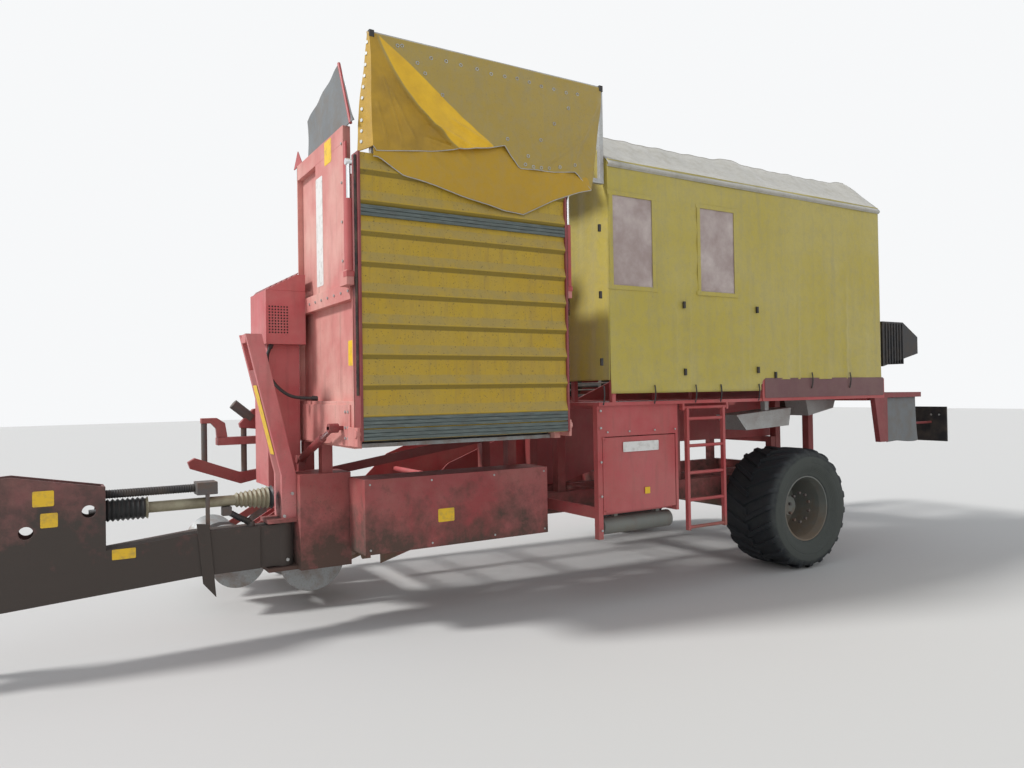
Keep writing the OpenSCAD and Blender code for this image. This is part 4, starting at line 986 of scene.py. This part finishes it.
class HARVESTER_OT_tent(bpy.types.Operator):
    """The picking tent's sides, ends, roof, windows, straps and toggles"""

    bl_idname = "harvester.tent"
    bl_label = "Tent"

    def execute(self, context):
        self.sizes = context.scene.harvester_cloth
        sides = limits("tent_sides")
        self.front, self.rear, self.left, self.right = sides[1][0], sides[0][0], sides[1][1], sides[0][1]
        self.eave, self.ridge = TENT[0][2], TENT[1][2]
        self.low = sides[0][2]
        self.glass = limits("tent_windows")
        left = self.side("tent_side_left", self.left, 1, self.low)
        self.side("tent_side_right", self.right, -1, 2.70)
        self.gable("tent_end_front", self.front - 0.004, 2.02, (0.25, 1.0, 2.64, 3.90))
        self.gable("tent_end_rear", self.rear + 0.004, 2.02, (0.25, 1.0, 2.64, 3.30))
        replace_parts(left, "tent_sides")
        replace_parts(self.roof(), "tent_roof")
        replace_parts(self.windows(), "tent_windows")
        self.hooks()
        return {"FINISHED"}

    def posts(self, x):
        """1 where the sheet lies on a frame of the tent and 0 half way between two frames."""
        near = np.min([np.abs(x - p) for p in (self.front - 0.04, AXLE + 0.67, self.rear + 0.04)], axis=0)
        return np.exp(-(near / 0.22) ** 2)

    def side(self, name, y, way, low):
        """A side sheet: it waves more towards its hem and less over the frames; the left one has window holes."""
        panes = [(AXLE + start, AXLE + start + WINDOW_WIDE) for start in WINDOWS]
        bottom, top = self.glass[0][2], self.glass[1][2]
        xs = np.unique(np.concatenate([np.linspace(self.rear, self.front, 200), *panes]))
        top_z = self.eave + 0.02
        edges = [(top_z - edge) / (top_z - low) for edge in (bottom, top)]
        vs = np.unique(np.concatenate([np.linspace(0, 1, 70), edges]))
        x, v = np.meshgrid(xs, vs, indexing="ij")
        z = top_z - v * (top_z - low)
        if way > 0:
            z = np.maximum(z, self.low + STEP_UP * (1 - step(x, AXLE + STEP_X, AXLE + STEP_X + 0.04)))
        loose = self.sizes.slack * (1 - self.posts(x)) * step(v, 0.05, 1.0)
        wave = np.sin(x * 8.3 + 0.6 * np.sin(z * 2.1)) + 0.5 * np.sin(x * 19.0 + z * 1.7) + 0.35 * np.sin(x * 37.0 - z)
        for crease in (AXLE + 1.86, AXLE + 1.68, AXLE + 0.86, AXLE + 0.1, AXLE - 0.7):
            wave = wave + 1.8 * np.exp(-((x - crease - 0.05 * v) / 0.022) ** 2) * step(v, 0.1, 0.5)
        bell = np.exp(-((v - 0.98) / 0.05) ** 2) * 0.006
        out = loose * wave * 0.45 + bell + 0.004 * np.sin(z * 23.0 + x * 3.0) * (1 - self.posts(x))
        points = xyz(x, y - way * 0.004 + way * out, z)
        keep = None
        if way > 0:
            # Faces that the higher platform leaves no height go, and so do those in the windows
            keep = (z[1:, 1:] < z[1:, :-1] - 1e-5) & (z[:-1, 1:] < z[:-1, :-1] - 1e-5)
            for pane in panes:
                keep &= ~opening(x, z, (*pane, bottom, top))
        return cloth(name, points, "chassis", "yellow_canvas", keep=keep)

    def outline(self, y):
        """Height of the tent's end at a place across it: two slopes and a flat top."""
        rise = self.ridge - self.eave
        return self.eave + rise * np.clip(np.minimum(self.left - y, y - self.right) / ROOF_KNEE, 0, 1)

    def gable(self, name, x, low, hole):
        """An end sheet up to the roof's outline, with the opening that people or potatoes go through."""
        ys = np.unique(np.concatenate([np.linspace(self.right + 0.006, self.left - 0.006, 90), hole[:2], [0.06]]))
        y, v = np.meshgrid(ys, np.linspace(0, 1, 121), indexing="ij")
        top = self.outline(y) - 0.006
        z = low + v * (top - low)
        wave = 0.006 * np.sin(y * 11.0 + z * 1.3) + 0.004 * np.sin(y * 27.0 - z * 2.0)
        points = xyz(x + wave, y, z)
        gap = opening(y, z, hole) | opening(y, z, (self.right, 0.06, low, 2.70))
        cloth(name, points, "chassis", "yellow_canvas", keep=~gap)

    def roof(self):
        """The roof goes eave, slope, flat top, slope, eave, with rounded knees, and sinks between the frames."""
        left, right = self.left + 0.004, self.right - 0.004
        half = [(0, self.eave - 0.05), (0, self.eave), (ROOF_KNEE / 2, (self.eave + self.ridge) / 2),
                (ROOF_KNEE, self.ridge - 0.012), (ROOF_KNEE + 0.1, self.ridge)]
        y, z = spline([(left - a, b) for a, b in half] + [(right + a, b) for a, b in reversed(half)], 101).T
        x = np.linspace(self.rear - 0.006, self.front + 0.006, 121)[:, None]
        height = step(z, self.eave - 0.02, self.eave + 0.15)
        dip = self.sizes.sag * (1 - self.posts(x)) * height
        seams = 0.004 * sum(np.exp(-((y - seam) / 0.012) ** 2) for seam in (1.30, 1.02, 0.4))
        crumple = 0.004 * np.sin(x * 13.0 + y * 5.0) + 0.003 * np.sin(x * 29.0 - y * 17.0)
        points = xyz(x, y, z - dip + seams + crumple * height)
        return cloth("tent_top", points, "chassis", "grey_canvas")

    def windows(self):
        """Milky films in the two window holes, each waved a little."""
        films, frames = Shape(), Shape()
        (_, _, low), (_, _, high) = self.glass
        face, middle = self.left + 0.001, (low + high) / 2
        u, v = even(30, 40)
        for start in (AXLE + place for place in WINDOWS):
            x, z = start + u * WINDOW_WIDE, low + v * (high - low)
            films.grid(xyz(x, self.left - 0.006 + 0.003 * np.sin(x * 23.0) * np.sin(z * 11.0), z))
            # Doubled cloth around the window
            frames.boxes([(start + WINDOW_WIDE / 2, face, edge) for edge in (low, high)], (0.285, 0.004, 0.02))
            frames.boxes([(start + edge, face, middle) for edge in (0, WINDOW_WIDE)], (0.02, 0.0038, 0.42))
        piece = films.skin("window_films", "chassis", "clear_sheet", None, 0.0012)
        frames.made("window_hems", "chassis", "yellow_canvas", bevel=0.002)
        return piece

    def hooks(self):
        """Thin rubber straps that hold the hem down to the platform's beam, and the sheets' toggles."""
        straps = Shape()
        t = np.linspace(0, 1, 9)
        for x in (2.760, 2.169, 1.654, 1.319, 0.780, -0.050, -0.700):
            low = self.low if x > STEP_X else self.low + STEP_UP
            path = xyz(x + AXLE + 0.01 * t, self.left + 0.012 + 0.014 * np.sin(np.pi * t), low + 0.07 - 0.17 * t)
            straps.tube(path, 0.007, 6, (1, 0, 0))
        # Toggles of the door flap and the side sheets
        for x, z in ((2.780, 3.352), (2.780, 2.766), (2.780, 2.179), (1.785, 2.723), (1.785, 2.091), (0.782, 2.718),
                     (0.782, 2.111), (0.523, 2.060)):
            straps.boxes([(x + AXLE, self.left + 0.012, z)], (0.012, 0.010, 0.032))
        straps.made("hem_straps", "chassis", "black_plastic", bevel=0.002)


class HARVESTER_OT_flaps(bpy.types.Operator):
    """Rubber flaps: the hood over the bunker and the curtain at the rear"""

    bl_idname = "harvester.flaps"
    bl_label = "Flaps"

    def execute(self, context):
        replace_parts(self.end_flap("hood_front", BUNKER[1][0] - 0.05), "bunker_hood")
        self.end_flap("hood_rear", limits("bunker_hood")[0][0] + 0.01)
        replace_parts(self.curtain(), "rubber_curtain")
        return {"FINISHED"}

    def end_flap(self, name, x):
        """A rubber sheet on top of an end wall: straight right edge, sloping top, steep left edge."""
        right, left, base = 0.304, limits("bunker_hood")[1][1], 3.98
        y, v = np.meshgrid(np.linspace(right, left, 60), np.linspace(0, 1, 60), indexing="ij")
        top = np.interp(y, [right, 1.139, left], [4.32, 4.512, 3.984])
        z = base + v * (top - base)
        wave = 0.010 * np.sin(y * 7.0 + z * 2.0) * np.sin(np.pi * v) + 0.004 * np.sin(y * 19.0)
        return cloth(name, xyz(x + wave, y, z), "chassis", "grey_sheet", thick=0.006)

    def curtain(self):
        """Two hanging rubber sheets that bulge and curl at their foot."""
        low, high = limits("rubber_curtain")
        side = None
        for name, a, b in (("curtain_side", (high[0], high[1] + 0.038), (low[0] + 0.022, high[1] + 0.038)),
                           ("curtain_rear", (low[0] + 0.008, high[1] - 0.04), (low[0] + 0.008, low[1]))):
            u, v = even(60, 40)
            x, y = a[0] + (b[0] - a[0]) * u, a[1] + (b[1] - a[1]) * u
            bend = 0.014 * np.sin(u * 9.0) * v + 0.018 * v ** 3
            if name == "curtain_side":
                y = y + bend - 0.05
            else:
                x = x - bend
            z = high[2] - v * (high[2] - low[2]) * (1 - 0.02 * np.sin(u * 6.0))
            piece = cloth(name, xyz(x, y, z), "chassis", "grey_sheet", thick=0.008)
            side = side or piece
        return side


class HARVESTER_OT_tyres(bpy.types.Operator):
    """Tyres with rounded shoulders and slanted lugs"""

    bl_idname = "harvester.tyres"
    bl_label = "Tyres"

    def execute(self, context):
        for side, way in (("left", 1), ("right", -1)):
            low, high = limits(f"tyre_{side}")
            centre, width = (low + high) / 2, high[1] - low[1]
            tyre = self.tyre(f"tyre_{side}_dressed", centre, width, f"wheel_{side}")
            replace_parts(tyre, f"tyre_{side}")
        return {"FINISHED"}

    def tyre(self, name, centre, width, body):
        """A carcass turned about the axle, and lugs that follow its tread from the middle over the shoulder."""
        lug, rim = 0.026, 0.345
        tread = TYRE_R - lug
        half = [(rim + 0.0003, 0.42), (rim + 0.012, 0.435), (rim + 0.045, 0.452), (TYRE_R * 0.70, 0.492),
                (TYRE_R * 0.80, 0.5), (tread - 0.060, 0.494), (tread - 0.018, 0.462), (tread - 0.002, 0.40),
                (tread, 0.28), (tread + 0.001, 0.0)]
        outer = half + [(r, -w) for r, w in reversed(half[:-1])]
        line = spline([(r, w * width) for r, w in outer], 73)
        bead = [(rim + 0.0003, -0.2 * width), (rim + 0.0003, 0.2 * width)]
        shape = Shape().turned(np.vstack([line, bead]), centre, 120)
        count, q_n = 22, 10
        way = np.repeat([1.0, -1.0], count)[:, None]
        start = np.concatenate([np.arange(count), np.arange(count) + 0.5])[:, None] * 2 * np.pi / count - np.pi / 2
        q = np.linspace(0, 1, q_n)[None, :]
        track = ((0, -0.02), (0, 0.15), (0.001, 0.30), (0.006, 0.42), (0.035, 0.478), (0.075, 0.497))
        r, w = spline([(tread - a, b * width) for a, b in track], q_n).T
        height = lug * (1 - step(q, 0.72, 1.0) * 0.92)
        angle = start + 0.53 * w / TYRE_R
        top, foot = 0.023 / TYRE_R, 0.036 / TYRE_R
        rows = []
        for turn, lift in ((-foot, -0.003), (-top, None), (top, None), (foot, -0.003)):
            rise = r + (height if lift is None else lift)
            a = angle + turn
            rows.append(xyz(rise * np.cos(a), way * w, rise * np.sin(a)))
        for rings in np.stack(rows, 2) + centre:
            shape.sleeve(rings)
        return shape.made(name, body, "tyre_rubber", smooth=40.0)


class HARVESTER_OT_webs(bpy.types.Operator):
    """Rod webs of the sieve channel: belts, cross rods and the rollers that carry them"""

    bl_idname = "harvester.webs"
    bl_label = "Webs"

    def execute(self, context):
        sieve = Shape()
        y = limits("sieve_webs")
        for p, q in (((4.060, 0.480), (1.010, 1.470)), ((0.730, 1.430), (-1.200, 1.640))):
            self.web(sieve, p, q, 0.100, y[0][1] + 0.015, y[1][1] - 0.015, 0.045, 0.0055)
        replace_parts(sieve.made("sieve_rods", "chassis", "bare_steel"), "sieve_webs")
        haulm = Shape()
        y = limits("haulm_web")
        self.web(haulm, (0.800, 2.000), (-3.000, 2.210), 0.150, y[0][1] + 0.015, y[1][1] - 0.015, 0.085, 0.009)
        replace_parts(haulm.made("haulm_rods", "chassis", "web_rubber"), "haulm_web")
        return {"FINISHED"}

    def loop(self, p, q, r, pitch):
        """Points at an even pitch around a belt's outer line: two straight runs and two half circles."""
        p, q = np.array(p), np.array(q)
        run = np.linalg.norm(q - p)
        along = (q - p) / run
        out = np.array([-along[1], along[0]])
        arc = np.pi * r
        count = round((2 * run + 2 * arc) / pitch)
        d = (np.arange(count) * (2 * run + 2 * arc) / count)[:, None]
        turn = (np.clip(d - run, 0, arc) + np.clip(d - 2 * run - arc, 0, arc)) / r
        straight = np.clip(d, 0, run) - np.clip(d - run - arc, 0, run)
        return p + along * straight + r * (out * np.cos(turn) + along * np.sin(turn))

    def web(self, shape, p, q, r, y0, y1, pitch, rod_r):
        """Rods at a pitch between three belts, over rollers on their shafts."""
        at = self.loop(p, q, r - rod_r, pitch)
        x, z = at[:, 0] + AXLE, at[:, 1]
        shape.rods(xyz(x, y0, z), xyz(x, y1, z), rod_r, 6)
        inner = self.loop(p, q, r - 2 * rod_r - 0.006, 0.06)
        ahead = np.roll(inner, -1, 0) - np.roll(inner, 1, 0)
        ahead /= np.linalg.norm(ahead, axis=1, keepdims=True)
        outer = inner + np.stack([-ahead[:, 1], ahead[:, 0]], -1) * (2 * rod_r + 0.005)
        for y in (y0 + 0.03, (y0 + y1) / 2, y1 - 0.03):
            ring = np.stack([inner, outer, outer, inner], 1)
            ys = y + np.array([-0.03, -0.03, 0.03, 0.03])
            shape.grid(xyz(ring[..., 0] + AXLE, ys, ring[..., 1]), wrap_u=True, wrap_v=True)
            for x, z in (p, q):
                shape.rods((x + AXLE, y - 0.035, z), (x + AXLE, y + 0.035, z), r - 2 * rod_r - 0.008, 24)
        for x, z in (p, q):
            shape.rods((x + AXLE, y0 - 0.015, z), (x + AXLE, y1 + 0.015, z), 0.028, 12)


class HARVESTER_OT_fittings(bpy.types.Operator):
    """Chains, bolts, blank labels, lamps and the rear cover's ribs"""

    bl_idname = "harvester.fittings"
    bl_label = "Fittings"

    def execute(self, context):
        self.chains()
        self.bolts()
        self.labels()
        self.lamps()
        self.ribs()
        return {"FINISHED"}

    def chains(self):
        """Roller chains down both ends of the folding section: two side plates a link, staggered, on round rollers."""
        shape = Shape()
        z = np.arange(FOLD_LOW + 0.35, FOLD_TOP - 0.02, 0.0254)
        y, side = LEFT_Y - 0.030, np.where(np.arange(len(z)) % 2 == 0, 0.008, 0.0055)
        for x in (AXLE + FRONT_WALL + 0.010, AXLE + REAR_WALL - 0.010):
            for way in (-1, 1):
                shape.boxes(xyz(x, y + way * side, z), (0.0075, 0.0013, 0.0165))
            shape.rods(xyz(x, y - 0.009, z + 0.0127), xyz(x, y + 0.009, z + 0.0127), 0.0065, 8)
        shape.made("fold_chains", "discharge", "web_rubber")

    def bolts(self):
        """Hexagonal bolt heads where plates are screwed together."""
        shape = Shape(AXLE)
        rows = [(FRONT_WALL, 1.26, z) for z in (3.85, 3.55, 3.25, 2.95)]
        rows += [(FRONT_WALL + 0.012, y, z) for y in (1.36, 1.30) for z in (1.60, 1.68, 1.80)]
        rows += [(FRONT_WALL + 0.012, y, 2.705) for y in np.linspace(0.12, 1.40, 9)]
        hexes(shape, rows, (1, 0, 0), 0.011, 0.008)
        panel, mast, box = (limits(node)[1][1] for node in ("side_panel", "mast", "side_box"))
        for rows, radius, height in (
                ([(2.775, panel, z) for z in (0.7, 1.0, 1.3, 1.6, 1.75)], 0.011, 0.008),
                ([(x, panel, 1.56) for x in (1.90, 2.15, 2.45, 2.70)], 0.009, 0.007),
                ([(5.215, mast, 1.131), (5.282, mast, 0.953), (5.12, mast, 0.60), (5.26, mast, 0.60)], 0.014, 0.010),
                ([(x, box, z) for x in (3.08, 3.6, 4.2, 4.74) for z in (0.69, 1.21)], 0.009, 0.007)):
            hexes(shape, rows, (0, 1, 0), radius, height)
        shape.made("frame_bolts", "chassis", "zinc_steel")
        for side, way in (("left", 1), ("right", -1)):
            low, high = limits(f"rim_{side}")
            centre = (low + high) / 2
            a = np.radians(np.arange(0, 360, 36) + 18)
            face = centre[1] + way * (0.5 * (0.67 if side == "left" else 0.45) - 0.160)
            start = xyz(centre[0] + 0.155 * np.cos(a), face, centre[2] + 0.155 * np.sin(a))
            nuts = Shape()
            nuts.rods(start, start + np.array([0, way * 0.03, 0]), 0.016, 6)
            nuts.made(f"wheel_nuts_{side}", f"wheel_{side}", "cast_iron")

    def labels(self):
        """Blank labels: plain yellow and white plates where the machine has its stickers."""
        white, yellow, board, bar = (Shape(AXLE) for _ in range(4))
        door, box = (limits(node)[1][1] for node in ("side_door", "side_box"))
        # Plates that face forward, then one on the mast's slope, then those that face left
        for shape, x, y, z, wide, tall in ((white, FRONT_WALL, 0.613, 2.827, 0.170, 0.900),
                                           (yellow, FRONT_WALL - 0.048, 1.216, 2.150, 0.180, 0.195),
                                           (yellow, FRONT_WALL, 0.847, 3.780, 0.171, 0.190)):
            plate(shape, (x, y, z), (0, wide, 0), (0, 0, tall), (1, 0, 0), 0.001)
        plate(yellow, (5.3405, 0.44, 1.450), (0, 0.12, 0), (0.1335, 0, 0.567), (0.973, 0, -0.229), 0.001)
        for shape, x, y, z, wide, tall, thick in ((white, 2.100, door, 1.375, 0.420, 0.090, 0.0015),
                                                  (yellow, 2.212, door, 0.983, 0.060, 0.060, 0.0015),
                                                  (yellow, 3.993, box, 0.854, 0.150, 0.110, 0.0015),
                                                  (board, -1.325, LEFT_Y, 1.826, 2.006, 0.204, 0.006),
                                                  (bar, 6.886, DRAW_LEFT, 1.1835, 0.130, 0.109, 0.0015),
                                                  (bar, 6.864, DRAW_LEFT, 1.0345, 0.106, 0.101, 0.0015),
                                                  (bar, 6.373, DRAW_LEFT, 0.7575, 0.156, 0.075, 0.0015)):
            plate(shape, (x, y, z), (wide, 0, 0), (0, 0, tall), (0, 1, 0), thick)
        white.made("blank_plates_white", "chassis", "label_white", "red_paint")
        yellow.made("blank_plates_yellow", "chassis", "label_yellow", "red_paint")
        board.made("blank_name_board", "chassis", "board_paint", "dark_red_paint", bevel=0.001)
        bar.made("blank_plates_drawbar", "drawbar", "label_yellow", "dark_red_paint")

    def lamps(self):
        """Round lamps on the rear of both light boards, and the boards' two bolts."""
        boards = limits("light_boards")
        red, amber, bolts = Shape(), Shape(), Shape()
        x = boards[0][0]
        for y, z in ((LEFT_Y - 0.11, 1.44), (limits("channel_walls")[0][1] + 0.16, 1.72)):
            red.rods([(x, y, z)], [(x - 0.022, y, z)], 0.055, 24)
            inner = y + 0.14 if y < 0 else y - 0.14
            amber.rods([(x, inner, z)], [(x - 0.022, inner, z)], 0.055, 24)
            hexes(bolts, [(x + 0.02, y - 0.08, z + 0.12), (x + 0.02, y + 0.02, z + 0.12)], (1, 0, 0), 0.012, 0.008)
        red.made("rear_lamps_red", "chassis", "lamp_red", "black_plastic", bevel=0.004)
        amber.made("rear_lamps_amber", "chassis", "lamp_amber", "black_plastic", bevel=0.004)
        bolts.made("light_board_bolts", "chassis", "zinc_steel")

    def ribs(self):
        """Ribs across the black cover behind the tent."""
        low, high = limits("rear_cover")
        shape = Shape()
        for i in range(7):
            x = low[0] + 0.32 + i * 0.055
            shape.boxes([(x, (low[1] + high[1]) / 2, high[2] - 0.26)], (0.008, (high[1] - low[1]) / 2 + 0.012, 0.24))
        shape.made("cover_ribs", "chassis", "black_plastic", bevel=0.003)


class HARVESTER_PT_panel(bpy.types.Panel):
    """Lists the steps that dress the machine"""

    bl_label = "Harvester"
    bl_space_type = "VIEW_3D"
    bl_region_type = "UI"
    bl_category = "Harvester"

    def draw(self, context):
        for group in (context.scene.harvester_cloth, context.scene.harvester_colours):
            for name in group.bl_rna.properties.keys():
                if name not in {"rna_type", "name"}:
                    self.layout.prop(group, name)
        for one in STEPS:
            self.layout.operator(one.bl_idname)


STEPS = (HARVESTER_OT_stage, HARVESTER_OT_finishes, HARVESTER_OT_panels, HARVESTER_OT_gear, HARVESTER_OT_tarpaulin,
         HARVESTER_OT_tent, HARVESTER_OT_flaps, HARVESTER_OT_tyres, HARVESTER_OT_webs, HARVESTER_OT_fittings)
CLASSES = (HarvesterCloth, HarvesterColours, *STEPS, HARVESTER_PT_panel)


def register():
    for one in CLASSES:
        bpy.utils.register_class(one)
    bpy.types.Scene.harvester_cloth = bpy.props.PointerProperty(type=HarvesterCloth)
    bpy.types.Scene.harvester_colours = bpy.props.PointerProperty(type=HarvesterColours)


def unregister():
    del bpy.types.Scene.harvester_colours
    del bpy.types.Scene.harvester_cloth
    for one in reversed(CLASSES):
        bpy.utils.unregister_class(one)


def main():
    """Registers the add-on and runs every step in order."""
    register()
    for one in STEPS:
        group, name = one.bl_idname.split(".")
        getattr(getattr(bpy.ops, group), name)()
    bpy.context.view_layer.update()


if __name__ == "__main__":
    main()
